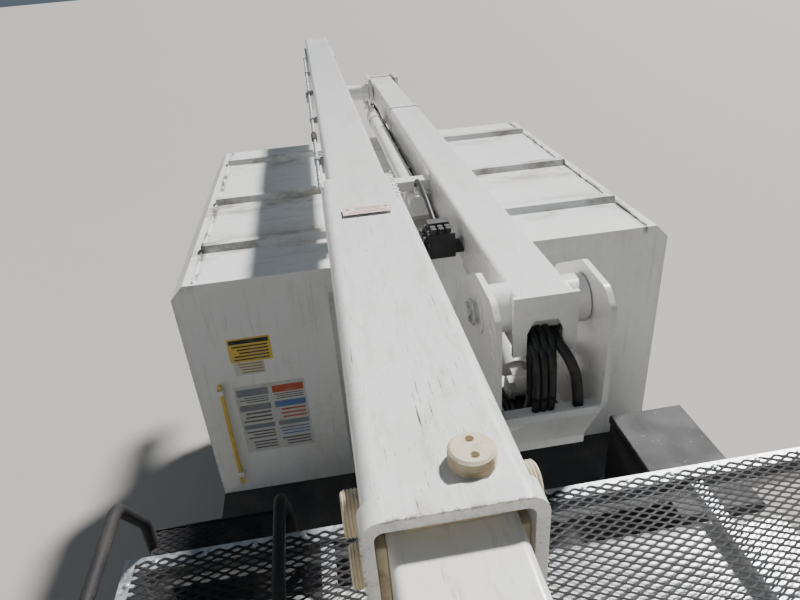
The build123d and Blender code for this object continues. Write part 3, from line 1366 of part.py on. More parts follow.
rod_eye_x = elbow_x + 230
chain_low = elbow_z - sprocket_radius
chain_z = chain_low - chain_roller - 2
chain_half = 12
with BuildPart() as elbow_rod:
    add(long_rod(elbow_cylinder_y, elbow_cylinder_z, elbow_rod_radius, rod_eye_x, elbow_cylinder_rear + 600))
    add(long_rod(elbow_cylinder_y, elbow_cylinder_z, elbow_bore_radius - 1, elbow_cylinder_rear + 560,
                 elbow_cylinder_rear + 600))
    add(block((rod_eye_x - 30, rod_eye_x + 40), (elbow_cylinder_y - 18, elbow_cylinder_y + 18),
              (chain_z - chain_roller, elbow_cylinder_z + elbow_rod_radius + 6)))
    for link in range(int((rod_eye_x - elbow_x) / chain_pitch)):
        x = rod_eye_x - link * chain_pitch
        add(cross_rod(x, chain_z, chain_roller, elbow_cylinder_y - chain_half, elbow_cylinder_y + chain_half))
        out = chain_half - 2.5 if link % 2 else chain_half
        for side in (1, -1):
            span = sorted((elbow_cylinder_y + side * (out - 3), elbow_cylinder_y + side * out))
            add(block((x - chain_pitch, x), span, (chain_z - 5, chain_z + 5)))
    add(cross_rod(x - chain_pitch, chain_z, chain_roller, elbow_cylinder_y - chain_half,
                  elbow_cylinder_y + chain_half))
save(elbow_rod.part, "elbow_rod")

# Elbow: two plates that hug the lower boom's end, and the shaft both booms turn on
elbow_plate = 24
elbow_gap = 12
tip_side = lower_tip_size / 2
elbow_low_y = (lower_boom_y - tip_side - elbow_gap - elbow_plate, lower_boom_y - tip_side - elbow_gap)
elbow_high_y = (lower_boom_y + tip_side + elbow_gap, lower_boom_y + tip_side + elbow_gap + elbow_plate)
arm_plate = 22
arm_low_y = (upper_boom_y - upper_boom_width / 2 - arm_plate, upper_boom_y - upper_boom_width / 2)
arm_high_y = (upper_boom_y + upper_boom_width / 2, upper_boom_y + upper_boom_width / 2 + arm_plate)
elbow_corners = ((-120, -95), (90, -105), (120, 0), (60, 120), (-230, 120), (-260, 0), (-220, -80))
elbow_outline = [(elbow_x + ahead, elbow_z + over) for ahead, over in elbow_corners]
with BuildPart() as elbow:
    for low, high in (elbow_low_y, elbow_high_y):
        with BuildSketch(lengthwise(high)) as plate_shape:
            with BuildLine():
                Polyline(*elbow_outline, close=True)
            make_face()
            fillet(plate_shape.vertices(), radius=28)
        extrude(amount=high - low)
    add(block((elbow_x - 250, elbow_x - 200), (elbow_low_y[0] + 2, elbow_high_y[1] - 2),
              (elbow_z - 50, elbow_z + 90)))
    add(cross_rod(elbow_x, elbow_z, elbow_shaft_radius, arm_low_y[0] - 25, elbow_high_y[1] + 12))
    add(cross_rod(elbow_x, elbow_z, elbow_shaft_radius + 22, arm_low_y[0] - 25, arm_low_y[0] - 6))
    add(cross_rod(elbow_x, elbow_z, elbow_shaft_radius + 22, elbow_high_y[1], elbow_high_y[1] + 12))
save(elbow.part, "elbow")

# Upper boom: a slim rear beam on two arm plates, a sleeve in front, and a sprocket on its cross tube
sprocket_teeth = 22
cross_tube_radius = 66
with BuildPart() as upper_boom:
    add(long_tube(upper_boom_y, (upper_boom_top + upper_boom_bottom) / 2, upper_boom_width, upper_boom_height,
                  upper_boom_wall, upper_boom_rear, sleeve_rear))
    arm_outline = [(elbow_x - 110, elbow_z - 20), (elbow_x - 60, elbow_z - 95), (elbow_x + 60, elbow_z - 95),
                   (elbow_x + 110, elbow_z - 20), (elbow_x + 330, upper_boom_bottom + 90),
                   (elbow_x + 330, upper_boom_top - 40), (elbow_x - 300, upper_boom_top - 40),
                   (elbow_x - 300, upper_boom_bottom + 60)]
    for low, high in (arm_low_y, arm_high_y):
        with BuildSketch(lengthwise(high)) as plate_shape:
            with BuildLine():
                Polyline(*arm_outline, close=True)
            make_face()
            fillet(plate_shape.vertices(), radius=40)
        extrude(amount=high - low)
    add(cross_rod(elbow_x, elbow_z, cross_tube_radius, arm_low_y[0], elbow_low_y[0] - 6))
    with BuildSketch(lengthwise(elbow_cylinder_y + 9)):
        with Locations((elbow_x, elbow_z)):
            Circle(sprocket_radius - 2)
            with PolarLocations(sprocket_radius - 2, sprocket_teeth):
                Circle(chain_roller, mode=Mode.SUBTRACT)
    extrude(amount=18)
    add(cross_rod(elbow_x, elbow_z, elbow_shaft_radius + pin_clearance, arm_low_y[0] - 5, elbow_low_y[0]),
        mode=Mode.SUBTRACT)

sleeve_middle = upper_boom_top - sleeve_height / 2
shoulder = 60
with BuildPart() as boom_sleeve:
    add(long_tube(upper_boom_y, sleeve_middle, sleeve_width, sleeve_height, sleeve_wall, sleeve_rear,
                  sleeve_front, corner=28))
    add(block((sleeve_rear, sleeve_rear + shoulder), (upper_boom_y - sleeve_width / 2 + 5,
                                                     upper_boom_y + sleeve_width / 2 - 5),
              (sleeve_bottom + 5, upper_boom_top - 5)))
    add(long_tube(upper_boom_y, sleeve_middle, sleeve_width + 14, sleeve_height + 14, sleeve_wall + 7,
                  sleeve_front - 45, sleeve_front, corner=34))

with BuildPart() as upper_boom_with_sleeve:
    add(upper_boom.part)
    add(boom_sleeve.part)
save(upper_boom_with_sleeve.part, "upper_boom")

# Wear pads: slippers between the sleeve and the inner boom, and the threaded plugs that set them
plug_radius = 36.5
plug_height = 28
slipper_length = 150
inner_side = inner_boom_size / 2
sleeve_inner_side = sleeve_width / 2 - sleeve_wall
plug_x = sleeve_front - 90
with BuildPart() as wear_pads:
    slipper_x = (sleeve_front - 20 - slipper_length, sleeve_front - 20)
    for y_side in (1, -1):
        span = sorted((upper_boom_y + y_side * (inner_side + face_clearance),
                       upper_boom_y + y_side * sleeve_inner_side))
        add(block(slipper_x, span, (inner_boom_middle - 70, inner_boom_middle + 70)))
    add(block(slipper_x, (upper_boom_y - 70, upper_boom_y + 70),
              (inner_boom_top + face_clearance, upper_boom_top - sleeve_wall)))
    add(block(slipper_x, (upper_boom_y - 70, upper_boom_y + 70),
              (sleeve_bottom + sleeve_wall, inner_boom_top - inner_boom_size - face_clearance)))
    add(upright(plug_x, upper_boom_y + 45, plug_radius, upper_boom_top, upper_boom_top + plug_height))
    for z in (inner_boom_middle + 52, inner_boom_middle - 68):
        add(cross_rod(plug_x - 20, z, plug_radius, upper_boom_y - sleeve_width / 2 - plug_height,
                      upper_boom_y - sleeve_width / 2))
        add(cross_rod(plug_x - 20, z, plug_radius, upper_boom_y + sleeve_width / 2,
                      upper_boom_y + sleeve_width / 2 + plug_height))
save(wear_pads.part, "wear_pads")

# Inner boom, with the head that carries the bucket's shaft
bucket_shaft_radius = 30
inner_boom_rear = sleeve_rear + shoulder + 10
with BuildPart() as inner_boom:
    add(long_tube(upper_boom_y, inner_boom_middle, inner_boom_size, inner_boom_size, inner_boom_wall,
                  inner_boom_rear, inner_boom_front, corner=14))
    add(block((bucket_x - 90, inner_boom_front - 5),
              (upper_boom_y - inner_side + 4, upper_boom_y + inner_side - 4),
              (inner_boom_top - inner_boom_size + 4, inner_boom_top - 4)))
    add(cross_rod(bucket_x, bucket_pivot_z, 55, upper_boom_y - inner_side - 16, upper_boom_y - inner_side + 5))
    add(cross_rod(bucket_x, bucket_pivot_z, bucket_shaft_radius + pin_clearance, upper_boom_y - inner_side - 30,
                  upper_boom_y + inner_side + 10), mode=Mode.SUBTRACT)
save(inner_boom.part, "inner_boom")

# Bucket with a rolled lip, and the bracket that hangs it on its shaft
bucket_y_span = (bucket_y - bucket_length, bucket_y)
bucket_top = bucket_bottom + bucket_height
with BuildPart() as bucket:
    with BuildSketch(level(bucket_bottom)):
        with Locations((bucket_x, bucket_y - bucket_length / 2)):
            RectangleRounded(bucket_length - 50, bucket_length - 50, 70)
    with BuildSketch(level(bucket_top)):
        with Locations((bucket_x, bucket_y - bucket_length / 2)):
            RectangleRounded(bucket_length - 20, bucket_length - 20, 80)
    loft()
    with BuildSketch(level(bucket_top - 30)):
        with Locations((bucket_x, bucket_y - bucket_length / 2)):
            RectangleRounded(bucket_length, bucket_length, 90)
    extrude(amount=30)
    with BuildSketch(level(bucket_bottom + bucket_wall)):
        with Locations((bucket_x, bucket_y - bucket_length / 2)):
            RectangleRounded(bucket_length - 50 - 2 * bucket_wall, bucket_length - 50 - 2 * bucket_wall,
                             70 - bucket_wall)
    with BuildSketch(level(bucket_top + 1)):
        with Locations((bucket_x, bucket_y - bucket_length / 2)):
            RectangleRounded(bucket_length - 20 - 2 * bucket_wall, bucket_length - 20 - 2 * bucket_wall,
                             80 - bucket_wall)
    loft(mode=Mode.SUBTRACT)
save(bucket.part, "bucket")

bracket_y = (bucket_y - 25 + 3, upper_boom_y - inner_side - 18)
with BuildPart() as bucket_bracket:
    add(cross_rod(bucket_x, bucket_pivot_z, bucket_shaft_radius, bracket_y[0] + 8,
                  upper_boom_y + inner_side + 14))
    add(cross_rod(bucket_x, bucket_pivot_z, 70, bracket_y[0] + 26, bracket_y[1]))
    add(block((bucket_x - 150, bucket_x + 150), (bucket_y - 25, bucket_y + 12),
              (bucket_pivot_z - 210, bucket_pivot_z + 190)))
    add(cross_rod(bucket_x, bucket_pivot_z, 50, upper_boom_y + inner_side + 4, upper_boom_y + inner_side + 14))
    add(bucket.part, mode=Mode.SUBTRACT)
save(bucket_bracket.part, "bucket_bracket")
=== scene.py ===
"""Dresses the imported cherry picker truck: its paints and finishes, and the surfaces that its CAD leaves out.

Everything is in metres in the frame's own axes: X forward, Y to the truck's left, Z up from the ground.
"""
import sys

import json
from math import cos, pi, radians, sin

import bmesh
import bpy
import numpy as np
from mathutils import Matrix, Vector
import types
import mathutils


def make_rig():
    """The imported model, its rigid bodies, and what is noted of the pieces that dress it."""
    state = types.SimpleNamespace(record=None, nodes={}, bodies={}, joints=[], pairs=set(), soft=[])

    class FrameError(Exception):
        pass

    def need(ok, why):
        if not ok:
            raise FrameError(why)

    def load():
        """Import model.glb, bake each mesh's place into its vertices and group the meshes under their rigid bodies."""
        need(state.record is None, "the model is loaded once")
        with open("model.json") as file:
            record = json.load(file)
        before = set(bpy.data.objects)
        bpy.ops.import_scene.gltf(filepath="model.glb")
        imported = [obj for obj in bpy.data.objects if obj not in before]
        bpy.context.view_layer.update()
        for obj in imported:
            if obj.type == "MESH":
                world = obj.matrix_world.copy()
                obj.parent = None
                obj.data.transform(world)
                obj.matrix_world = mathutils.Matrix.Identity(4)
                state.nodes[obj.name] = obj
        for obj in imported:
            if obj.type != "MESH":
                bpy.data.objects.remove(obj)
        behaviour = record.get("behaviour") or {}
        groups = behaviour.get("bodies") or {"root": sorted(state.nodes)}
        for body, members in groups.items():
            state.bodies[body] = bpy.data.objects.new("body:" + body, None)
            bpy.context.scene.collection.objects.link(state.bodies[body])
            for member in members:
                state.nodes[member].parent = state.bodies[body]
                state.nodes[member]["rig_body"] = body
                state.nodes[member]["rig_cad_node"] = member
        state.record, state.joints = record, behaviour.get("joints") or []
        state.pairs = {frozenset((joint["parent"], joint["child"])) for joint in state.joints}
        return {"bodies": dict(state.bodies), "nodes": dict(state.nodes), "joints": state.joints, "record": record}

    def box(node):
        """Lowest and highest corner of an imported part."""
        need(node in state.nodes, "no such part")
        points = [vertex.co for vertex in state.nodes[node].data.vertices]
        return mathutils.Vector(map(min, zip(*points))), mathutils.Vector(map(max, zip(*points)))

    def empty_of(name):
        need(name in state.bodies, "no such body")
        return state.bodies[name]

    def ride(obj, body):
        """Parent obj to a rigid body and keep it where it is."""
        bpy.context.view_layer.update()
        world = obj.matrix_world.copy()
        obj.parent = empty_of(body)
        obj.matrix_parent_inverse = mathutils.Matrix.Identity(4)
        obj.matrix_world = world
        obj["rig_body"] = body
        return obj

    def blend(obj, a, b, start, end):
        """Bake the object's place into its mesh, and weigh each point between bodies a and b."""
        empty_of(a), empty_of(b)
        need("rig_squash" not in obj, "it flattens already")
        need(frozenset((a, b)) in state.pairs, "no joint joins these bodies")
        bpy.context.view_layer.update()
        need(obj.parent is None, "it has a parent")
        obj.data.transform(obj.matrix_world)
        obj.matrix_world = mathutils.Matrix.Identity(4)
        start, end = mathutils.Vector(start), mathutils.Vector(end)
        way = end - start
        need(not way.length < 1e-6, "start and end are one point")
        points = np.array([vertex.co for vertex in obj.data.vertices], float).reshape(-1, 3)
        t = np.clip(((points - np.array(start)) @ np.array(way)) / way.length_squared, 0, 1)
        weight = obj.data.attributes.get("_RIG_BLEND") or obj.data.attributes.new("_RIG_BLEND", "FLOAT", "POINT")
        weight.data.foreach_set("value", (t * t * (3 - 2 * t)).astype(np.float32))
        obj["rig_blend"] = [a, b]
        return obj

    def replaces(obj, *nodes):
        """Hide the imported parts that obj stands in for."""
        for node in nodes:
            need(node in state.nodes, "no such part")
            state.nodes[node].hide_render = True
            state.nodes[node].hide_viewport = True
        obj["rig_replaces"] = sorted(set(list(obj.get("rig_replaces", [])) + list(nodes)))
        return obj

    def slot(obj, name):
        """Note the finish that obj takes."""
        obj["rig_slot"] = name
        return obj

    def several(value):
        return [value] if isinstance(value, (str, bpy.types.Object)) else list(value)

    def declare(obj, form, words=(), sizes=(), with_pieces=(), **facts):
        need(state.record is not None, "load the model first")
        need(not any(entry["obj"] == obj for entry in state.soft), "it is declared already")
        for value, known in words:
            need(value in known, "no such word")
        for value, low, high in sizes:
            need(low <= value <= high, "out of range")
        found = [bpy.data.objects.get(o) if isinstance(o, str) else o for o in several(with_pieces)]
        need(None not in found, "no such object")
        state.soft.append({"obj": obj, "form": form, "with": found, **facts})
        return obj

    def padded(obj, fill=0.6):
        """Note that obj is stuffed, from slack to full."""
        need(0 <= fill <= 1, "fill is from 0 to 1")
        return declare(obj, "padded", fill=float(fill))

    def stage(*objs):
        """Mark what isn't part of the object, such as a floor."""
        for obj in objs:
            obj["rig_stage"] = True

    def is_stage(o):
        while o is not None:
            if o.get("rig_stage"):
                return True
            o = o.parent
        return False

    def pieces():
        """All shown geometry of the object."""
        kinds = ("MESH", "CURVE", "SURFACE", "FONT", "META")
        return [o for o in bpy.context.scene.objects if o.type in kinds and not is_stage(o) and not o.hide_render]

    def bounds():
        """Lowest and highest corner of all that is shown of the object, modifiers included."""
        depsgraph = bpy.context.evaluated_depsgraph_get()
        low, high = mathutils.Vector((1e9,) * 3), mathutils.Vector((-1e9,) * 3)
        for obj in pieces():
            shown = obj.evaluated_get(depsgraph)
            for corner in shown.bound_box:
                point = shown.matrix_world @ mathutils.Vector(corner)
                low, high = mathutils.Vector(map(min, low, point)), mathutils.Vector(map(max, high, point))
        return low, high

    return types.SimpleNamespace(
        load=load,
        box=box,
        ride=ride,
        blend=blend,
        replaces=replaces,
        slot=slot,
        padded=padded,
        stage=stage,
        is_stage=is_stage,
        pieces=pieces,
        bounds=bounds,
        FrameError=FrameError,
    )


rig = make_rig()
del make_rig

bl_info = {
    "name": "Cherry Picker Truck Dressing",
    "version": (1, 0, 0),
    "blender": (4, 5, 0),
    "location": "View3D > Sidebar > Truck",
    "description": "Paints, mesh, bolts, plugs, labels, hoses and tyres on the truck's CAD frame",
    "category": "Object",
}

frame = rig.load()
CAD_BOX = [list(corner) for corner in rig.bounds()]
SIZE_FILE = "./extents.json"
UP = (0.0, 0.0, 1.0)
PREFIX = "truck_"
WELD = 1e-6
SHARP = radians(35)
WHEELS = (
    ("front_left", "wheel_front_left", "tyre_front_left"),
    ("front_right", "wheel_front_right", "tyre_front_right"),
    ("rear_left", "wheels_rear_left", "tyres_rear_left"),
    ("rear_right", "wheels_rear_right", "tyres_rear_right"),
)


def length(name, description, default):
    return bpy.props.FloatProperty(name=name, description=description, default=default, unit="LENGTH")


def spot(name, description, default):
    return bpy.props.FloatVectorProperty(
        name=name, description=description, default=default, subtype="TRANSLATION")


def tint(name, description, default):
    return bpy.props.FloatVectorProperty(
        name=name, description=description, default=default, subtype="COLOR", min=0, max=1)


class TruckSizes(bpy.types.PropertyGroup):
    """Sizes of the pieces that this add-on makes, in metres."""

    mesh_long: length("Mesh long way", "Length of one opening of the expanded metal", 0.052)
    mesh_short: length("Mesh short way", "Width of one opening of the expanded metal", 0.026)
    mesh_strand: length("Mesh strand", "Width of a strand of the expanded metal", 0.0070)
    bolt_pitch: length("Bolt pitch", "Distance between the dome bolts of the guard", 0.145)
    bolt_radius: length("Bolt head radius", "Radius of a dome bolt's head", 0.0095)
    plug_radius: length("Plug radius", "Radius over the thread of a wear pad plug", 0.0365)
    thread_pitch: length("Thread pitch", "Pitch of the thread on a wear pad plug", 0.0056)
    tread_depth: length("Tread depth", "Depth of the grooves in the tyres", 0.011)
    hose_radius: length("Hose radius", "Outer radius of a hydraulic hose", 0.011)


class TruckColours(bpy.types.PropertyGroup):
    """Colours of the truck's finishes, in linear light."""

    box_white: tint("Box white", "Paint of the chip box and the cab", (0.80, 0.80, 0.78))
    boom_white: tint("Boom white", "Paint of the booms and the turret", (0.76, 0.75, 0.73))
    gelcoat: tint("Gelcoat cream", "Gelcoat of the insulating beams", (0.76, 0.745, 0.70))
    nylon: tint("Nylon cream", "Nylon of the wear pad plugs", (0.60, 0.52, 0.38))
    black: tint("Black paint", "Paint of the deck, guard and rails", (0.018, 0.018, 0.02))
    label_yellow: tint("Label yellow", "Ground of the yellow label and the measuring stick", (0.72, 0.52, 0.10))


# Shader maths: a finish is a function of a Paint that returns what its shader and its bump are set to


class Wire:
    """A shader socket that Python arithmetic works on: each operator adds the Math node of its name."""

    def __init__(self, paint, socket):
        self.paint = paint
        self.socket = socket

    def maths(self, operation, *others):
        return self.paint.node("ShaderNodeMath", {"operation": operation}, dict(enumerate((self, *others))))

    def __add__(self, other):
        return self.maths("ADD", other)

    def __sub__(self, other):
        return self.maths("SUBTRACT", other)

    def __rsub__(self, other):
        return self.paint.node("ShaderNodeMath", {"operation": "SUBTRACT"}, {0: other, 1: self})

    def __mul__(self, other):
        return self.maths("MULTIPLY", other)

    def __abs__(self):
        return self.maths("ABSOLUTE")

    def __mod__(self, other):
        return self.maths("FLOORED_MODULO", other)

    def least(self, other):
        return self.maths("MINIMUM", other)

    def most(self, other):
        return self.maths("MAXIMUM", other)

    __radd__ = __add__
    __rmul__ = __mul__


class Paint:
    """One procedural material: a Principled shader and the nodes that feed it."""

    def __init__(self, name):
        self.material = bpy.data.materials.new(PREFIX + name)
        self.material.use_nodes = True
        self.tree = self.material.node_tree
        self.shader = self.tree.nodes["Principled BSDF"]
        self.place = self.node("ShaderNodeTexCoord", output="Object")

    def node(self, kind, settings=None, inputs=None, output=0):
        """Adds a node: its settings first, then its sockets' values or links."""
        made = self.tree.nodes.new(kind)
        for key, value in (settings or {}).items():
            setattr(made, key, value)
        for key, value in (inputs or {}).items():
            self.feed(made.inputs[key], value)
        return Wire(self, made.outputs[output])

    def feed(self, socket, value):
        """Links the socket to a wire, or sets it to a constant."""
        if isinstance(value, Wire):
            self.tree.links.new(value.socket, socket)
        else:
            socket.default_value = value

    def axes(self, letters="XYZ"):
        """The Object coordinates of these letters, in metres."""
        parts = self.node("ShaderNodeSeparateXYZ", inputs={0: self.place}).socket.node
        return [Wire(self, parts.outputs[letter]) for letter in letters]

    def noise(self, scale, detail=3.0, roughness=0.55, stretch=(1, 1, 1)):
        """Noise on Object coordinates, stretched by a factor along each axis."""
        where = self.node("ShaderNodeMapping", inputs={"Vector": self.place, "Scale": stretch})
        return self.node("ShaderNodeTexNoise", inputs={
            "Vector": where, "Scale": scale, "Detail": detail, "Roughness": roughness})

    def spots(self, scale, stretch=(1, 1, 1)):
        """Distance to the nearest of a field of random points, for speckles."""
        where = self.node("ShaderNodeMapping", inputs={"Vector": self.place, "Scale": stretch})
        return self.node("ShaderNodeTexVoronoi", inputs={"Vector": where, "Scale": scale})

    def step(self, value, low, high):
        """0 below low and 1 above high, with a smooth rise between; low above high turns it round."""
        rise = self.node("ShaderNodeMapRange", {"interpolation_type": "SMOOTHSTEP"}, {
            "Value": value, "From Min": min(low, high), "From Max": max(low, high)})
        return 1 - rise if low > high else rise

    def patches(self, low, high, *noise):
        """A noise cut to patches: 0 where it is below low and 1 where it is above high."""
        return self.step(self.noise(*noise), low, high)

    def mix(self, share, under, over):
        """The colour under, with over laid on it by share."""
        under, over = (c if isinstance(c, Wire) else (*c, 1.0) for c in (under, over))
        return self.node("ShaderNodeMix", {"data_type": "RGBA"}, {0: share, 6: under, 7: over}, output=2)

    def layers(self, ground, *coats):
        """The ground colour with each coat, a share and a colour, laid on it in turn."""
        for share, colour in coats:
            ground = self.mix(share, ground, colour)
        return ground

    def near_edges(self, boxes, width):
        """1 on the edges of the given boxes: the second nearest pair of faces is within the width."""
        axes = self.axes()
        found = None
        for low, high in boxes:
            gaps = [abs(value - (a + b) / 2) * -1 + (b - a) / 2 for value, a, b in zip(axes, low, high)]
            away = gaps[0].most(gaps[1]).least(gaps[1].most(gaps[2])).least(gaps[0].most(gaps[2]))
            inside = self.step(gaps[0].least(gaps[1]).least(gaps[2]), -0.004, -0.002)
            mask = self.step(abs(away), width, 0.0) * inside
            found = mask if found is None else found.most(mask)
        return found

    def done(self, bump=None, height=0.001, strength=1.0, **sockets):
        """Sets the shader's sockets, by name with spaces as underscores, and a bump from a height in metres."""
        if bump is not None:
            sockets["Normal"] = self.node("ShaderNodeBump", inputs={
                "Height": bump, "Distance": height, "Strength": strength})
        for key, value in sockets.items():
            self.feed(self.shader.inputs[key.replace("_", " ")], value)
        return self.material


def colours():
    return bpy.context.scene.truck_colours


def sizes():
    return bpy.context.scene.truck_sizes


def node_box(name):
    return np.array([tuple(corner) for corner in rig.box(name)])


def weathered(p, colour, boxes=(), gloss=0.28, dust=0.35, grime=0.5, chips=0.5, streaks=(1, 30, 30),
              marks=None):
    """Sprayed paint: orange peel, dust clouds, rubbed streaks, dark specks, chips along the edges of boxes, and
    last the marks: pairs of a share and a colour from a function of the paint."""
    clouds = p.noise(1.7, 5.0, 0.62)
    fine = p.noise(26.0, 4.0, 0.6)
    rubbed = p.noise(5.0, 4.0, 0.65, streaks)
    dusty = p.step(clouds * 0.75 + fine * 0.25, 0.46, 0.66) * dust
    shade = p.mix(dusty, colour, (colour[0] * 0.74, colour[1] * 0.68, colour[2] * 0.58))
    rub = p.step(rubbed, 0.60, 0.74) * dust
    shade = p.mix(rub * 0.5, shade, (colour[0] * 0.66, colour[1] * 0.64, colour[2] * 0.60))
    specks = p.step(p.spots(38.0), 0.085, 0.03) * p.patches(0.52, 0.60, 9.0, 2.0) * grime
    shade = p.mix(specks, shade, (0.16, 0.13, 0.10))
    wear = specks * 0.3
    if boxes:
        ragged = p.patches(0.47, 0.58, 60.0, 4.0, 0.7)
        soiled = p.near_edges(boxes, 0.035) * p.patches(0.42, 0.6, 22.0, 3.0)
        shade = p.mix(soiled * 0.35 * chips, shade, (0.34, 0.29, 0.24))
        chipped = p.near_edges(boxes, 0.007) * ragged * chips
        shade = p.mix(chipped, shade, (0.10, 0.075, 0.06))
        wear = wear.most(chipped)
    for share, tone in marks(p) if marks else ():
        shade = p.mix(share, shade, tone)
    peel = p.noise(420.0, 2.0, 0.5) * 0.06 + fine * 0.25 + wear * -0.9
    return dict(
        bump=peel, height=0.0005, strength=0.35, Base_Color=shade,
        Roughness=(dusty * 0.45 + wear * 0.3 + gloss).least(0.9), Coat_Weight=0.25, Coat_Roughness=0.2,
        Specular_IOR_Level=0.5)


def roof_marks(p):
    """Brown dust swept against the roof's ribs, a dark line in patches along the seams at the side rails, and
    painted shade in darker vertical streaks on the walls below the roof."""
    x, y, z = p.axes()
    top = p.step(z, 2.27, 2.31)
    near = p.step(abs(x + 0.79), 0.24, 0.03).most(p.step(abs(x + 1.42), 0.30, 0.04)).most(
        p.step(abs(x + 2.30), 0.24, 0.03))
    cloud = p.patches(0.45, 0.60, 2.6, 6.0, 0.72, (1.8, 0.7, 1))
    # a dark line in patches along the seams at the side rails, on the roof only
    seam = p.step(abs(abs(y) - 1.106), 0.030, 0.004) * p.patches(0.46, 0.56, 5.0, 5.0, 0.7, (1, 3, 1))
    wipes = p.patches(0.56, 0.66, 3.0, 5.0, 0.75, (9, 0.8, 1))
    # painted shade: darker vertical streaks in patches on the walls below the roof
    drips = p.patches(0.54, 0.68, 6.0, 4.0, 0.7, (6, 6, 0.35))
    return ((near * cloud * top * 0.75, (0.27, 0.235, 0.18)), (seam * top * 0.85, (0.075, 0.062, 0.048)),
            (wipes * top * 0.38, (0.40, 0.39, 0.37)), (drips * (1 - top) * 0.24, (0.42, 0.40, 0.36)))


def boom_marks(p):
    """Scuffs that thicken towards the sleeve's mouth and the boom's front, and short black rope scratches."""
    x, = p.axes("X")
    ahead = p.step(x, 0.2, 1.7)
    scuff = p.patches(0.50, 0.62, 13.0, 6.0, 0.75, (0.7, 3, 3))
    smear = p.patches(0.50, 0.64, 3.4, 6.0, 0.70, (0.6, 2, 2))
    scratch = p.patches(0.645, 0.68, 15.0, 3.0, 0.8, (0.5, 14, 14))
    return ((smear * 0.20, (0.50, 0.49, 0.46)), (scuff * (ahead * 0.26 + 0.06), (0.40, 0.37, 0.32)),
            (scratch * (ahead * 0.7 + 0.3), (0.08, 0.075, 0.07)))


def box_white(p):
    return weathered(p, tuple(colours().box_white), [node_box("chip_box")], dust=0.42, grime=0.5, chips=0.5,
                     streaks=(14, 1.5, 14), marks=roof_marks)


def cab_white(p):
    return weathered(p, tuple(colours().box_white), dust=0.16, grime=0.18, streaks=(3, 3, 18))


def boom_paint(p):
    boxes = [node_box(node) for node in ("upper_boom", "lower_boom")]
    return weathered(p, tuple(colours().boom_white), boxes, gloss=0.24, dust=0.16, grime=0.65, chips=0.8,
                     streaks=(2, 34, 34), marks=boom_marks)


def boom_fibreglass(p):
    """Aged gelcoat: cream, with faint lengthwise rolling marks, stains and small dark pits."""
    base = tuple(colours().gelcoat)
    marks = p.noise(9.0, 3.0, 0.6, (1, 26, 26))
    stain = p.patches(0.48, 0.68, 3.2, 4.0, 0.6)
    pits = p.step(p.spots(46.0), 0.10, 0.03) * p.patches(0.5, 0.6, 12.0, 2.0)
    shade = p.layers(base, (stain * 0.35, (base[0] * 0.80, base[1] * 0.74, base[2] * 0.62)),
                     (p.step(marks, 0.55, 0.72) * 0.25, (0.84, 0.81, 0.70)), (pits * 0.6, (0.20, 0.15, 0.10)))
    scuff = p.patches(0.53, 0.64, 14.0, 6.0, 0.75, (0.8, 4, 4))
    scratch = p.patches(0.655, 0.69, 17.0, 3.0, 0.8, (0.6, 12, 12))
    shade = p.layers(shade, (scuff * 0.35, (0.44, 0.42, 0.38)), (scratch * 0.8, (0.12, 0.11, 0.10)))
    return dict(bump=marks * 0.5 + pits * -0.8, height=0.0004, strength=0.4, Base_Color=shade,
                Roughness=stain * 0.25 + 0.27, Coat_Weight=0.3, Coat_Roughness=0.15)


def black_paint(p):
    """Satin black over steel: dust lying in patches, scratches and a few rubbed grey spots."""
    base = tuple(colours().black)
    dust = p.patches(0.44, 0.70, 4.0, 5.0, 0.65)
    grit = p.patches(0.52, 0.66, 150.0, 3.0, 0.7)
    scratch = p.patches(0.66, 0.72, 7.0, 4.0, 0.7, (1, 40, 40))
    shade = p.layers(base, (dust * 0.14 + grit * 0.06, (0.19, 0.165, 0.14)),
                     (scratch * 0.30, (0.17, 0.17, 0.17)))
    return dict(bump=p.noise(210.0, 2.0) * 0.5 + scratch * -0.4, height=0.0004, strength=0.5, Base_Color=shade,
                Roughness=dust * 0.2 + 0.55, Specular_IOR_Level=0.16)


def frame_paint(p):
    """Chassis black under road film: brown dust in clouds and patches of rust."""
    film = p.patches(0.40, 0.66, 3.0, 6.0, 0.68)
    rust = p.patches(0.60, 0.72, 19.0, 5.0, 0.7)
    shade = p.layers((0.022, 0.022, 0.022), (film * 0.45, (0.16, 0.13, 0.10)),
                     (rust * 0.5, (0.15, 0.055, 0.022)))
    return dict(bump=p.noise(90.0, 4.0), height=0.0008, strength=0.4, Base_Color=shade,
                Roughness=film * 0.3 + 0.5)


def galvanised(p):
    """Zinc: a crystal spangle in greys, dulled by white oxide, with rusty smears."""
    cells = p.node("ShaderNodeTexVoronoi", inputs={"Vector": p.place, "Scale": 75.0}, output="Color")
    grey = p.node("ShaderNodeSeparateColor", inputs={0: cells})
    shade = p.layers((0.34, 0.35, 0.36), (grey, (0.56, 0.57, 0.58)),
                     (p.patches(0.5, 0.7, 14.0, 4.0) * 0.5, (0.60, 0.60, 0.57)),
                     (p.patches(0.62, 0.74, 8.0, 5.0, 0.7) * 0.6, (0.20, 0.11, 0.06)))
    return dict(bump=p.noise(120.0, 3.0), height=0.0003, strength=0.4, Base_Color=shade, Metallic=0.75,
                Roughness=grey * 0.2 + 0.38)


def cast_iron(p):
    """Sand-cast metal with a rough skin, oily dark patches and surface rust."""
    rust = p.patches(0.46, 0.66, 11.0, 5.0, 0.7)
    shade = p.mix(rust * 0.8, (0.055, 0.052, 0.05), (0.17, 0.085, 0.045))
    return dict(bump=p.noise(180.0, 4.0, 0.7), height=0.0012, strength=0.6, Base_Color=shade, Metallic=0.4,
                Roughness=rust * 0.25 + 0.55)


def wheel_steel(p):
    return weathered(p, (0.70, 0.70, 0.68), dust=0.55, grime=0.7, gloss=0.34, streaks=(9, 9, 9))


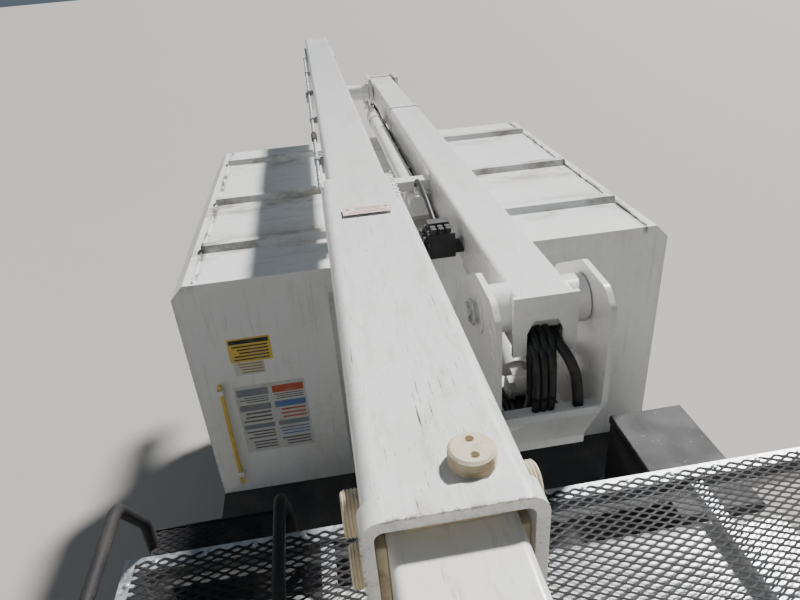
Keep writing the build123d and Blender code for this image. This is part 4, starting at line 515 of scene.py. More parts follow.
def tyre_rubber(p):
    """Rubber: near black, browned by dust in the tread and greyed on the sidewalls."""
    dust = p.patches(0.40, 0.68, 7.0, 5.0, 0.65)
    grit = p.noise(230.0, 3.0, 0.7)
    shade = p.layers((0.018, 0.018, 0.018), (dust * 0.5, (0.105, 0.088, 0.07)),
                     (p.step(grit, 0.55, 0.7) * 0.25, (0.07, 0.065, 0.06)))
    return dict(bump=grit, height=0.0006, strength=0.5, Base_Color=shade, Roughness=dust * 0.15 + 0.72)


def pane_glass(p):
    """Tinted glass with a dust film that thickens in patches."""
    film = p.patches(0.42, 0.70, 5.0, 5.0, 0.65)
    shade = p.mix(film * 0.4, (0.62, 0.70, 0.69), (0.55, 0.50, 0.43))
    return dict(Base_Color=shade, Roughness=film * 0.18 + 0.03, Transmission_Weight=0.9, IOR=1.45,
                Alpha=film * 0.25 + 0.45)


def black_plastic(p):
    """Moulded plastic with a fine leather grain, greyed where it has weathered."""
    grain = p.spots(420.0)
    aged = p.patches(0.42, 0.68, 6.0, 4.0)
    shade = p.mix(aged * 0.5, (0.022, 0.022, 0.023), (0.075, 0.073, 0.07))
    return dict(bump=grain, height=0.0004, strength=0.5, Base_Color=shade, Roughness=aged * 0.2 + 0.5)


def lamp_lens(p):
    """Clear lenses in front and red ones at the rear, with moulded flutes."""
    x, y, z = p.axes()
    rear = p.step(x, 0.0, -0.1)
    flutes = abs((y * 90.0) % 1.0 - 0.5)
    shade = p.layers((0.78, 0.79, 0.80), (rear, (0.45, 0.012, 0.010)),
                     (p.patches(0.5, 0.7, 10.0, 4.0) * 0.3, (0.35, 0.30, 0.24)))
    return dict(bump=flutes + abs((z * 60.0) % 1.0 - 0.5) * 0.4, height=0.0012, strength=0.5, Base_Color=shade,
                Roughness=0.12, Coat_Weight=0.6, Specular_IOR_Level=0.7)


def nylon(p):
    """Turned nylon: cream, soiled in the thread, with fine lathe rings and grease smears."""
    base = tuple(colours().nylon)
    stain = p.patches(0.44, 0.66, 34.0, 5.0, 0.65)
    grease = p.patches(0.60, 0.70, 19.0, 4.0, 0.7)
    shade = p.layers(base, (stain * 0.5, (base[0] * 0.72, base[1] * 0.60, base[2] * 0.42)),
                     (grease * 0.45, (0.16, 0.12, 0.08)))
    return dict(bump=p.noise(300.0, 3.0), height=0.0004, strength=0.4, Base_Color=shade,
                Roughness=grease * -0.2 + 0.55, Subsurface_Weight=0.08, Subsurface_Scale=0.004)


def chrome_rod(p):
    """Hard chrome with an oil film and hair scratches along the stroke."""
    film = p.patches(0.48, 0.68, 12.0, 4.0)
    hair = p.noise(30.0, 3.0, 0.7, (1, 60, 60))
    shade = p.mix(film * 0.4, (0.72, 0.73, 0.75), (0.42, 0.36, 0.28))
    return dict(bump=hair, height=0.0001, strength=0.3, Base_Color=shade, Metallic=1.0,
                Roughness=film * 0.2 + 0.13)


def bucket_gelcoat(p):
    """Gelcoat of the bucket: off-white, woven glass faintly telegraphed through it, scuffed low down."""
    x, y, z = p.axes()
    weave = abs(((x + y) * 110.0) % 1.0 - 0.5) * abs((z * 110.0) % 1.0 - 0.5)
    low = node_box("bucket")[0][2]
    scuff = p.step(z, low + 0.5, low) * p.patches(0.48, 0.62, 9.0, 5.0, 0.7, (1, 1, 3))
    dust = p.patches(0.46, 0.68, 2.6, 5.0, 0.6)
    shade = p.layers((0.80, 0.78, 0.70), (dust * 0.3, (0.62, 0.57, 0.47)), (scuff * 0.55, (0.28, 0.24, 0.20)))
    return dict(bump=weave + scuff * -0.5, height=0.0006, strength=0.25, Base_Color=shade,
                Roughness=dust * 0.2 + scuff * 0.25 + 0.28, Coat_Weight=0.3)


def tank_aluminium(p):
    """Brushed aluminium under road dust."""
    hair = p.noise(40.0, 4.0, 0.7, (1, 40, 40))
    dust = p.patches(0.42, 0.68, 4.0, 5.0)
    shade = p.mix(dust * 0.5, (0.55, 0.56, 0.58), (0.33, 0.29, 0.24))
    return dict(bump=hair, height=0.0003, strength=0.4, Base_Color=shade, Metallic=0.85,
                Roughness=hair * 0.25 + dust * 0.3 + 0.2)


def bumper_white(p):
    return weathered(p, (0.74, 0.74, 0.72), [node_box("front_bumper")], dust=0.4, grime=0.8, chips=0.7)


def hose_rubber(p):
    """Hose cover: black, with the print of its cloth wrap, dusty on the upper side."""
    x, z = p.axes("XZ")
    wrap = abs(((x + z) * 240.0) % 1.0 - 0.5)
    dust = p.patches(0.46, 0.68, 14.0, 4.0, 0.65)
    shade = p.mix(dust * 0.4, (0.013, 0.013, 0.014), (0.10, 0.085, 0.07))
    return dict(bump=wrap, height=0.0006, strength=0.5, Base_Color=shade, Roughness=dust * 0.25 + 0.48)


def seal_rubber(p):
    """Extruded rubber: black, chalky grey where the sun has dried it."""
    chalk = p.patches(0.44, 0.66, 16.0, 5.0, 0.65)
    shade = p.mix(chalk * 0.5, (0.014, 0.014, 0.014), (0.075, 0.072, 0.068))
    return dict(bump=p.noise(260.0, 3.0), height=0.0003, strength=0.4, Base_Color=shade,
                Roughness=chalk * 0.2 + 0.6)


def seat_fabric(p):
    """Woven seat cloth: a grey basket weave of crossing yarns with lighter flecks, rubbed in the middle."""
    x, y, z = p.axes()
    across, along = abs((y * 260.0) % 1.0 - 0.5), abs(((x + z) * 260.0) % 1.0 - 0.5)
    fleck = p.step(p.spots(240.0), 0.30, 0.12)
    rubbed = p.patches(0.45, 0.65, 5.0, 4.0)
    shade = p.layers((0.050, 0.052, 0.058), (across.most(along) * 1.2, (0.105, 0.107, 0.112)),
                     (fleck * 0.5, (0.22, 0.22, 0.21)), (rubbed * 0.3, (0.16, 0.15, 0.14)))
    return dict(bump=across.most(along), height=0.0010, strength=0.7, Base_Color=shade, Roughness=0.9,
                Sheen_Weight=0.25)


def mirror_glass(p):
    """Silvered glass with a thin dust film."""
    film = p.patches(0.46, 0.70, 9.0, 5.0, 0.65)
    shade = p.mix(film * 0.4, (0.86, 0.87, 0.88), (0.50, 0.46, 0.40))
    return dict(Base_Color=shade, Metallic=1.0, Roughness=film * 0.25 + 0.04)


def amber_lens(p):
    """Moulded amber plastic with fine flutes and a dull dust film."""
    y, = p.axes("Y")
    film = p.patches(0.45, 0.65, 30.0, 4.0)
    shade = p.mix(film * 0.35, (0.72, 0.21, 0.015), (0.40, 0.27, 0.16))
    return dict(bump=abs((y * 220.0) % 1.0 - 0.5), height=0.0006, strength=0.5, Base_Color=shade,
                Roughness=film * 0.3 + 0.15, Coat_Weight=0.5)


def exhaust_steel(p):
    """Aluminised steel, straw and brown from heat, rusting in blotches along the seams."""
    rust = p.patches(0.46, 0.64, 8.0, 5.0, 0.7)
    heat = p.patches(0.40, 0.62, 2.0, 3.0)
    shade = p.layers((0.36, 0.35, 0.33), (heat * 0.6, (0.30, 0.22, 0.14)), (rust * 0.8, (0.17, 0.075, 0.035)))
    return dict(bump=p.noise(130.0, 4.0) + rust * 0.5, height=0.0005, strength=0.5, Base_Color=shade,
                Metallic=0.6, Roughness=rust * 0.35 + 0.42)


def bare_plate(p):
    """A blank pressed plate: dull aluminium with a hammered ground and grime at its edge."""
    grime = p.patches(0.45, 0.66, 18.0, 4.0, 0.65)
    shade = p.mix(grime * 0.5, (0.60, 0.60, 0.60), (0.28, 0.25, 0.21))
    return dict(bump=p.spots(260.0), height=0.0004, strength=0.4, Base_Color=shade, Metallic=0.7,
                Roughness=grime * 0.3 + 0.35)


def tape(p):
    """Reflective tape in red and white lengths, with a honeycomb of prisms under dust."""
    x, = p.axes("X")
    red = p.step((x * 2.2) % 1.0, 0.500, 0.503)
    cells = p.spots(190.0)
    shade = p.layers((0.70, 0.70, 0.68), (red, (0.50, 0.016, 0.014)),
                     (p.patches(0.46, 0.68, 9.0, 5.0, 0.65) * 0.45, (0.34, 0.28, 0.22)))
    return dict(bump=cells, height=0.0003, strength=0.4, Base_Color=shade, Roughness=0.3, Coat_Weight=0.4)


def knob_red(p):
    """Red phenolic knobs, worn pale and greasy."""
    worn = p.patches(0.45, 0.62, 60.0, 4.0)
    shade = p.mix(worn * 0.5, (0.42, 0.022, 0.016), (0.20, 0.07, 0.05))
    return dict(bump=p.noise(240.0, 2.0), height=0.0003, strength=0.3, Base_Color=shade,
                Roughness=worn * 0.3 + 0.25,
                Coat_Weight=0.3)


def deck_grit(p):
    """Black non-slip paint: grains all over, pale dust lying between them and grey where boots rub it."""
    grain = p.spots(230.0)
    dust = p.patches(0.42, 0.68, 3.5, 6.0, 0.68)
    rubbed = p.patches(0.50, 0.66, 1.6, 4.0, 0.6) * p.step(grain, 0.45, 0.25)
    shade = p.layers((0.016, 0.017, 0.020), (dust * 0.32, (0.17, 0.145, 0.12)),
                     (rubbed * 0.35, (0.16, 0.16, 0.16)))
    return dict(bump=1 - grain, height=0.0012, strength=0.7, Base_Color=shade, Roughness=dust * 0.2 + 0.62)


def worn_lid(p):
    """A black lid worn to grey steel by boots: rubbed clouds and swirls, scratches and a few white specks."""
    cloud = p.patches(0.38, 0.66, 6.0, 6.0, 0.70)
    swirl = p.patches(0.42, 0.66, 24.0, 5.0, 0.72)
    scratch = p.patches(0.62, 0.70, 11.0, 4.0, 0.75, (28, 2, 1)).most(
        p.patches(0.64, 0.72, 9.0, 4.0, 0.75, (2, 26, 1)))
    specks = p.step(p.spots(30.0), 0.07, 0.03)
    z, = p.axes("Z")
    top = p.step(z, 1.420, 1.436)
    shade = p.layers((0.014, 0.014, 0.016), ((cloud * 0.5 + swirl * 0.5) * top * 0.8, (0.062, 0.060, 0.058)),
                     (scratch * top * 0.4, (0.17, 0.165, 0.16)), (specks * top, (0.70, 0.70, 0.68)))
    return dict(bump=swirl * -0.4 + scratch * -0.5, height=0.0005, strength=0.5, Base_Color=shade,
                Roughness=cloud * 0.15 + 0.55, Specular_IOR_Level=0.25)


NODE_FINISHES = {
    "box_white": ("chip_box", "tail_door_left", "tail_door_right", "side_boxes"),
    "cab_white": ("cab_shell", "door_left", "door_right", "front_fenders", "hood"),
    "boom_paint": ("turret", "pedestal", "lower_boom", "upper_boom", "elbow", "lift_barrel", "elbow_cylinder",
                   "bucket_bracket"),
    "boom_fibreglass": ("lower_boom_tip", "inner_boom"),
    "black_paint": ("guard_mesh", "access_ladder", "tool_box", "outrigger_sockets", "outrigger_leg_left",
                    "outrigger_leg_right", "boom_rest"),
    "deck_grit": ("deck",),
    "worn_lid": ("tool_box_lid",),
    "frame_paint": ("frame_rails", "leaf_springs", "subframe", "hitch", "front_axle", "rear_axle",
                    "drive_line"),
    "galvanised": ("cab_guard",),
    "cast_iron": ("knuckle_left", "knuckle_right"),
    "wheel_steel": ("rim_front_left", "rim_front_right", "rims_rear_left", "rims_rear_right"),
    "tyre_rubber": ("tyre_front_left", "tyre_front_right", "tyres_rear_left", "tyres_rear_right"),
    "pane_glass": ("cab_glass", "door_glass_left", "door_glass_right"),
    "black_plastic": ("grille", "cab_interior"),
    "lamp_lens": ("lamps",),
    "nylon": ("wear_pads",),
    "chrome_rod": ("lift_rod", "elbow_rod"),
    "bucket_gelcoat": ("bucket",),
    "tank_aluminium": ("fuel_tank",),
    "bumper_white": ("front_bumper",),
}


# The slot that a piece of each finish takes; finishes that aren't here belong to no slot
SLOTS = {
    "galvanised": "galvanised", "black_paint": "black_paint", "nylon": "nylon", "boom_paint": "boom_paint",
    "black_plastic": "black_plastic", "hose_rubber": "black_plastic", "seat_fabric": "black_plastic",
    "seal_rubber": "black_plastic", "knob_red": "black_plastic", "tyre_rubber": "tyre", "mirror_glass": "glass",
    "exhaust_steel": "frame_paint", "amber_lens": "lamp_lens", "bucket_gelcoat": "bucket_fibreglass",
    "box_white": "white_paint", "chrome_rod": "chrome_bumper",
}


def finish(name):
    """The material of a finish, made from what the function of its name returns the first time it is asked for.
    The prefix keeps it apart from the plain materials that the frame brings."""
    made = bpy.data.materials.get(PREFIX + name)
    if made is None:
        paint = Paint(name)
        made = paint.done(**globals()[name](paint))
    return made


# Shapes: each is a pair of arrays, its points and the corners of its four-sided faces


def grid(points, wrap=(False, False), close=(False, False)):
    """A surface through rows and columns of points. wrap joins an edge to the one opposite, and close draws the
    first or last row to its own middle, which makes a pole."""
    points = np.asarray(points, float)
    middle = points.mean(1, keepdims=True).repeat(points.shape[1], 1)
    points = np.concatenate([middle[:1]] * close[0] + [points] + [middle[-1:]] * close[1])
    rows, columns = points.shape[:2]
    row, column = (a.ravel() for a in np.meshgrid(
        np.arange(rows - (not wrap[0])), np.arange(columns - (not wrap[1])), indexing="ij"))
    below, beside = (row + 1) % rows, (column + 1) % columns
    faces = np.stack([row * columns + column, row * columns + beside, below * columns + beside,
                      below * columns + column], 1)
    return points.reshape(-1, 3), faces


def join(*shapes):
    """Several shapes as one: all points in a row, each shape's faces counted on from its first point."""
    starts = np.cumsum([0] + [len(points) for points, _ in shapes[:-1]])
    return (np.concatenate([points for points, _ in shapes]),
            np.concatenate([faces + start for (_, faces), start in zip(shapes, starts)]))


def copies(shape, places):
    """The shape once at each 4 x 4 placement: every point times every placement."""
    points, faces = shape
    places = np.asarray(places, float)
    moved = np.einsum("kij,nj->kni", places[:, :3, :3], points) + places[:, None, :3, 3]
    counted = faces[None] + np.arange(len(places))[:, None, None] * len(points)
    return moved.reshape(-1, 3), counted.reshape(-1, 4)


def unit(vectors):
    return vectors / np.linalg.norm(vectors, axis=-1, keepdims=True)


def places(origins, up=UP):
    """Placements at the origins whose Z points along up. X is the world axis that is squarest to it."""
    origins = np.atleast_2d(np.asarray(origins, float))
    z = unit(np.broadcast_to(np.asarray(up, float), origins.shape))
    guide = np.where(np.abs(z[:, :1]) < 0.9, [[1.0, 0, 0]], [[0, 1.0, 0]])
    y = unit(np.cross(z, guide))
    made = np.zeros((len(origins), 4, 4))
    made[:, :3, 0] = np.cross(y, z)
    made[:, :3, 1] = y
    made[:, :3, 2] = z
    made[:, :3, 3] = origins
    made[:, 3, 3] = 1
    return made


def lathe(profile, sides=20, closed=False):
    """(radius, height) carried round Z: x = r cos a, y = r sin a, z = h. Open ends are closed at a pole."""
    radius, height = np.asarray(profile, float).T
    angle = np.linspace(0, 2 * pi, sides, endpoint=False)
    rise = np.broadcast_to(height[:, None], (len(radius), sides))
    points = np.stack([radius[:, None] * np.cos(angle), radius[:, None] * np.sin(angle), rise], -1)
    return grid(points, (closed, True), (not closed, not closed))


def sweep(path, profile, up=UP, loop=False):
    """A closed profile of (side, rise) carried along a path: path + side * left + rise * above, where left is
    square to the path and to up, and above to both."""
    path, profile = np.asarray(path, float), np.asarray(profile, float)
    along = np.roll(path, -1, 0) - np.roll(path, 1, 0) if loop else np.gradient(path, axis=0)
    left = unit(np.cross(np.broadcast_to(np.asarray(up, float), path.shape), along))
    above = unit(np.cross(along, left))
    points = path[:, None] + profile[None, :, :1] * left[:, None] + profile[None, :, 1:] * above[:, None]
    return grid(points, (loop, True), (not loop, not loop))


def circle(radius, sides=12):
    angle = np.linspace(0, 2 * pi, sides, endpoint=False)
    return np.stack([radius * np.cos(angle), radius * np.sin(angle)], 1)


def rounded(half_width, half_height, corner, steps=4):
    """A rectangle with round corners: each corner's centre plus a quarter circle of the corner's radius."""
    angle = np.linspace(0, pi / 2, steps)
    turns = [np.stack([np.cos(angle + k * pi / 2), np.sin(angle + k * pi / 2)], 1) * corner for k in range(4)]
    signs = ((1, 1), (-1, 1), (-1, -1), (1, -1))
    return np.concatenate([turn + np.array([sx * (half_width - corner), sy * (half_height - corner)])
                           for turn, (sx, sy) in zip(turns, signs)])


def slab(low, high, axis=2, corner=0.003, edge=0.0008, steps=4):
    """A block between two corners, rounded as seen along an axis and bevelled at both ends of it: four rounded
    outlines, the outer two drawn in by the bevel."""
    low, high = np.minimum(low, high).astype(float), np.maximum(low, high).astype(float)
    order = [(axis + 1) % 3, (axis + 2) % 3, axis]
    half = (high - low)[order] / 2
    middle = ((low + high) / 2)[order]
    corner = min(corner, half[0] * 0.999, half[1] * 0.999)
    edge = min(edge, corner * 0.9, half[2] * 0.9)
    rows = []
    for inset, rise in ((edge, -half[2]), (0, edge - half[2]), (0, half[2] - edge), (edge, half[2])):
        outline = rounded(half[0] - inset, half[1] - inset, corner - inset, steps)
        rows.append(np.column_stack([outline, np.full(len(outline), rise)]) + middle)
    points, faces = grid(rows, (False, True), (True, True))
    return points[:, np.argsort(order)], faces


def smooth(points, steps=10):
    """A curve through the points, by Catmull and Rom: a cubic over each span, whose ends lean along the line
    between their two neighbours."""
    p = np.asarray(points, float)
    p = np.concatenate([2 * p[:1] - p[1:2], p, 2 * p[-1:] - p[-2:-1]])
    t = np.linspace(0, 1, steps, endpoint=False)[None, :, None]
    a, b, c, d = p[:-3, None], p[1:-2, None], p[2:-1, None], p[3:, None]
    run = 0.5 * (2 * b + (c - a) * t + (2 * a - 5 * b + 4 * c - d) * t ** 2 + (3 * b - a - 3 * c + d) * t ** 3)
    return np.concatenate([run.reshape(-1, 3), p[-2:-1]])


def tube(points, radius, up=UP, sides=12, steps=10):
    """A round line along a smooth curve through the points."""
    return sweep(smooth(points, steps), circle(radius, sides), up)


def bar(start, end, radius, sides=14, chamfer=0.001):
    """A round bar between two points, with its ends chamfered."""
    run = np.asarray(end, float) - np.asarray(start, float)
    length = np.linalg.norm(run)
    profile = [(radius - chamfer, 0), (radius, chamfer), (radius, length - chamfer), (radius - chamfer, length)]
    return copies(lathe(profile, sides), places(start, run))


def turned(profile, sides, origins, up):
    """A lathed shape that stands at each origin and points along up."""
    return copies(lathe(profile, sides), places(origins, up))


def slabs(rows, corner=0.004):
    """Rounded blocks, a row of low corner, high corner and the axis that each is rounded about."""
    return join(*[slab(low, high, axis, corner) for low, high, axis in rows])


def cushion(low, high, lean=0.0, channels=0, bulge=0.34):
    """A stuffed pad that fills a box: half sizes times a squared-off sphere, cos and sin each to the power
    bulge with their sign kept. Sewn channels across X draw the faces in by the square of a cosine along Y. The
    pad leans about its own lower edge."""
    low, high = np.asarray(low, float), np.asarray(high, float)
    u, v = np.linspace(0, 2 * pi, 72, endpoint=False), np.linspace(-pi / 2, pi / 2, 37)[1:-1]
    curve = lambda value: np.sign(value) * np.abs(value) ** bulge
    across = curve(np.cos(v))[:, None]
    unit_pad = np.stack([across * curve(np.cos(u)), across * curve(np.sin(u)),
                         np.broadcast_to(curve(np.sin(v))[:, None], (len(v), len(u)))], -1)
    if channels:
        seam = np.abs(np.cos(unit_pad[..., 1] * pi / 2 * channels)) ** 24
        unit_pad[..., 2] -= 0.16 * seam * unit_pad[..., 2]
        unit_pad[..., 0] -= 0.05 * seam * unit_pad[..., 0]
    points = unit_pad * (high - low) / 2
    rise = points[..., 2] + (high - low)[2] / 2
    points[..., 0] -= rise * np.tan(lean)
    return grid(points + (low + high) / 2, (False, True), (True, True))


def linked(name, data):
    """A new object of the scene."""
    made = bpy.data.objects.new(name, data)
    bpy.context.scene.collection.objects.link(made)
    return made


def piece(name, shape, body, finish_name, replaces=(), slot=None):
    """Puts a shape into a mesh object at the origin, welds its seams and poles, turns its faces outwards, rides
    it on its body, if it names one, and gives it its finish's slot, unless it names another."""
    points, faces = shape
    mesh = bpy.data.meshes.new(name)
    mesh.from_pydata(points.tolist(), [], faces.tolist())
    work = bmesh.new()
    work.from_mesh(mesh)
    bmesh.ops.remove_doubles(work, verts=work.verts, dist=WELD)
    bmesh.ops.recalc_face_normals(work, faces=work.faces)
    work.to_mesh(mesh)
    work.free()
    mesh.polygons.foreach_set("use_smooth", np.ones(len(mesh.polygons), bool))
    mesh.set_sharp_from_angle(angle=SHARP)
    made = linked(name, mesh)
    mesh.materials.append(finish(finish_name))
    slot = slot or SLOTS.get(finish_name)
    if body:
        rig.ride(made, body)
    if slot:
        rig.slot(made, slot)
    if replaces:
        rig.replaces(made, *replaces)
    return made


# Operators


class TRUCK_OT_camera(bpy.types.Operator):
    """Set the camera where the photograph was taken: beside the bucket, above the cab, looking rearward"""

    bl_idname = "truck.camera"
    bl_label = "Camera"

    place: spot("Place", "Where the camera is", (2.296, -0.450, 3.592))
    ahead: bpy.props.FloatVectorProperty(
        name="Ahead", description="Direction that it looks in", default=(-0.8697, 0.0965, -0.4841))
    roll: bpy.props.FloatProperty(
        name="Roll", description="How far its right side tips down", default=radians(4.65), subtype="ANGLE")
    lens: bpy.props.FloatProperty(
        name="Lens", description="Focal length on a 36 mm sensor", default=28.22, subtype="DISTANCE_CAMERA")

    def execute(self, context):
        ahead = Vector(self.ahead).normalized()
        level = ahead.cross(Vector(UP)).normalized()
        right = level * cos(self.roll) - level.cross(ahead) * sin(self.roll)
        up = right.cross(ahead)
        camera = linked("camera", bpy.data.cameras.new("camera"))
        camera.data.lens = self.lens
        camera.data.sensor_width = 36.0
        camera.data.clip_start = 0.02
        camera.matrix_world = Matrix((right, up, -ahead)).transposed().to_4x4()
        camera.location = self.place
        context.scene.camera = camera
        return {"FINISHED"}


class TRUCK_OT_stage(bpy.types.Operator):
    """Add a plain pale floor, a pale sky and soft studio lights"""

    bl_idname = "truck.stage"
    bl_label = "Studio"

    reach: length("Floor reach", "Radius of the floor", 140.0)
    tone: tint("Floor tone", "Colour of the floor", (0.37, 0.35, 0.32))

    def execute(self, context):
        radius = np.array([0.0, 6.0, 20.0, 60.0, self.reach])
        angle = np.linspace(0, 2 * pi, 65)
        disc = np.stack([radius[:, None] * np.cos(angle), radius[:, None] * np.sin(angle),
                         np.full((len(radius), len(angle)), -0.002)], -1)
        points, faces = grid(disc)
        mesh = bpy.data.meshes.new("floor")
        mesh.from_pydata(points.tolist(), [], faces.tolist())
        floor = linked("floor", mesh)
        p = Paint("floor_matte")
        shade = p.mix(p.noise(0.6, 4.0) * 0.25, tuple(self.tone), tuple(0.92 * c for c in self.tone))
        mesh.materials.append(p.done(Base_Color=shade, Roughness=0.85))
        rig.stage(floor)
        world = bpy.data.worlds.new("studio_sky")
        world.use_nodes = True
        sky = world.node_tree.nodes["Background"]
        sky.inputs["Color"].default_value = (0.64, 0.81, 1.0, 1.0)
        sky.inputs["Strength"].default_value = 0.17
        context.scene.world = world
        # name, kind, place, aimed at, strength, and its size in metres or its angle across
        lights = (
            ("key", "SUN", (-6.0, 6.5, 11.5), (0.2, 0.0, 2.0), 8.8, radians(5.0)),
            ("fill", "AREA", (7.5, -5.0, 7.0), (0.5, 0.0, 2.0), 20.0, 6.0),
            ("rim", "AREA", (-3.0, -9.0, 6.0), (-1.0, 0.0, 1.5), 60.0, 6.0),
        )
        for name, kind, place, aim, strength, size in lights:
            lamp = bpy.data.lights.new(name, kind)
            lamp.energy = strength
            if kind == "SUN":
                lamp.angle = size
            else:
                lamp.shape = "DISK"
                lamp.size = size
            light = linked(name, lamp)
            light.location = place
            light.rotation_euler = (Vector(aim) - Vector(place)).to_track_quat("-Z", "Y").to_euler()
        return {"FINISHED"}


class TRUCK_OT_finishes(bpy.types.Operator):
    """Give each CAD node its procedural finish"""

    bl_idname = "truck.finishes"
    bl_label = "CAD finishes"

    def execute(self, context):
        for name, nodes in NODE_FINISHES.items():
            for node in nodes:
                carrier = frame["nodes"][node]
                for slot in carrier.material_slots:
                    slot.material = finish(name)
                if not carrier.material_slots:
                    carrier.data.materials.append(finish(name))
        bare = set(frame["nodes"]) - {node for nodes in NODE_FINISHES.values() for node in nodes}
        if bare:
            raise ValueError(f"these CAD nodes have no finish: {sorted(bare)}")
        return {"FINISHED"}


def expanded_metal(low, high, long_way, short_way, strand):
    """Expanded metal between two corners: strands that zigzag along Y, x = row + s / 4 of the short way and
    height = s of the sheet, where s is a trapezoid wave of the long way that every other strand has turned
    round, so that neighbours meet at their bonds."""
    rows = int((high[0] - low[0]) / (short_way / 2))
    turns = int((high[1] - low[1]) / long_way)
    period = np.array([0.0, 0.17, 0.5, 0.67])
    wave = np.array([1.0, 1.0, -1.0, -1.0])
    along = (np.arange(turns)[:, None] + period).ravel() * long_way
    swing = np.tile(wave, turns)
    edge = low[1] + (high[1] - low[1] - along[-1]) / 2
    rise = (low[2] + high[2]) / 2
    lift = 0.0007
    row = low[0] + short_way / 4 + np.arange(rows) * (high[0] - low[0] - short_way / 2) / (rows - 1)
    sign = np.where(np.arange(rows) % 2 == 0, 1.0, -1.0)
    x = row[:, None] + sign[:, None] * swing * (short_way / 4 - strand * 0.2)
    y = np.broadcast_to(edge + along, x.shape)
    z = rise + sign[:, None] * swing * lift
    thick = (high[2] - low[2]) / 2 - lift
    corners = np.array([(-strand / 2, -thick * 0.4), (strand / 2, -thick), (strand / 2, thick * 0.4),
                        (-strand / 2, thick)])
    points = np.stack([x, y, z], -1)[:, :, None] + np.column_stack(
        [corners[:, 0], np.zeros(4), corners[:, 1]])[None, None]
    return join(*[grid(strip, (False, True), (True, True)) for strip in points])


class TRUCK_OT_mesh(bpy.types.Operator):
    """Add the expanded metal of the cab guard and of the steps"""

    bl_idname = "truck.mesh"
    bl_label = "Expanded metal"

    tread_rear: length("Tread rear", "Where the treads' mesh starts, behind the guard", 0.842)

    def execute(self, context):
        s = sizes()
        low, high = node_box("cab_guard")
        low[2], high[2] = high[2] + 0.0006, high[2] + 0.0046
        inset = np.array([0.017, 0.017, 0.0])
        sheet = expanded_metal(low + inset, high - inset, s.mesh_long, s.mesh_short, s.mesh_strand)
        piece("guard_expanded_metal", sheet, "chassis", "black_paint", ["guard_mesh"])
        rail, width, front, lift, thick = 0.04, 0.37, 0.930, 0.0003, 0.0040
        right = node_box("access_ladder")[0][1]
        finer = (s.mesh_long * 0.7, s.mesh_short * 0.8, s.mesh_strand * 0.8)
        treads = [expanded_metal((self.tread_rear, right + rail, z + lift),
                                 (front, right + width, z + lift + thick), *finer)
                  for z in (1.290, 1.560, 1.830, 2.087)]
        piece("step_treads", join(*treads), "chassis", "black_paint")
        return {"FINISHED"}


def dome_bolt(radius):
    """A dome head on its washer: a quarter circle over a short flange."""
    angle = np.linspace(0, pi / 2, 5)
    dome = [(radius * cos(a), radius * 0.15 + radius * 0.55 * sin(a)) for a in angle]
    return lathe([(radius * 1.35, 0.0), (radius * 1.35, radius * 0.12), (radius, radius * 0.15), *dome[:-1]],
                 10)


def hex_bolt(radius):
    """A hexagon head with a washer under it and a small chamfer on top."""
    washer = lathe([(radius * 1.35, 0.0), (radius * 1.35, radius * 0.18)], 12)
    head = lathe([(radius, radius * 0.18), (radius, radius * 0.75), (radius * 0.86, radius * 0.85)], 6)
    return join(washer, head)


class TRUCK_OT_bolts(bpy.types.Operator):
    """Add the guard's dome bolts and the bolts of the turret and pedestal"""

    bl_idname = "truck.bolts"
    bl_label = "Bolts"

    def execute(self, context):
        s = sizes()
        low, high = node_box("cab_guard")
        inset, first, last = 0.024, 0.09, 0.05
        run_x = np.arange(low[0] + first, high[0] - last, s.bolt_pitch)
        run_y = np.arange(low[1] + first, high[1] - last, s.bolt_pitch)
        spots = [(x, y, high[2]) for x in run_x for y in (low[1] + inset, high[1] - inset)]
        spots += [(x, y, high[2]) for y in run_y for x in (low[0] + inset, high[0] - inset)]
        piece("guard_bolts", copies(dome_bolt(s.bolt_radius), places(spots)), "chassis", "galvanised")

        swing_x, slew_radius, bolts = 0.310, 0.262, 24
        slew_top = node_box("turret")[0][2] + 0.065
        slew = circle(slew_radius, bolts) + (swing_x, 0.0)
        x, y = slew.T
        under_boom = (x > 0.05) & (x < 0.62) & (y > 0.0) & (y < 0.38)
        slew = np.column_stack([slew, np.full(bolts, slew_top)])[~under_boom]
        piece("slewing_bolts", copies(hex_bolt(0.013), places(slew)), "turret", "galvanised")
        foot_top = node_box("pedestal")[0][2] + 0.025
        foot = [(swing_x + a, b, foot_top) for a in (-0.28, 0.28) for b in (-0.28, -0.1, 0.1, 0.28)]
        piece("pedestal_bolts", copies(hex_bolt(0.019), places(foot)), "chassis", "galvanised")
        return {"FINISHED"}


def threaded_plug(radius, height, pitch):
    """A threaded plug standing on Z: r = radius - thread_depth * t, where t is a triangle wave of height /
    pitch minus angle / 2 pi, so that the crest climbs one pitch a turn. Its top is bevelled, and sinks by the
    pin holes' depth where the distance to a hole's middle is less than the hole's radius."""
    thread_depth, bevel = 0.0030, 0.003
    hole_place, hole_radius, hole_wall, hole_depth = 0.017, 0.0064, 0.0012, 0.008
    turns = np.linspace(0, 2 * pi, 120, endpoint=False)
    rise = np.linspace(0, height - bevel, 34)
    phase = (rise[:, None] / pitch - turns / (2 * pi)) % 1.0
    r = radius - thread_depth * np.abs(2 * phase - 1) ** 1.2
    side = np.stack([r * np.cos(turns), r * np.sin(turns), np.broadcast_to(rise[:, None], r.shape)], -1)
    core = radius - thread_depth
    reach = np.concatenate([[core], np.linspace(core - 0.002, 0.0006, 32)])
    x, y = reach[:, None] * np.cos(turns), reach[:, None] * np.sin(turns)
    away = np.minimum(np.hypot(x - hole_place, y), np.hypot(x + hole_place, y))
    z = height - hole_depth * np.clip((hole_radius - away) / hole_wall, 0, 1)
    z[0] = height - bevel / 2
    return grid(np.concatenate([side, np.stack([x, y, z], -1)]), (False, True), (True, True))


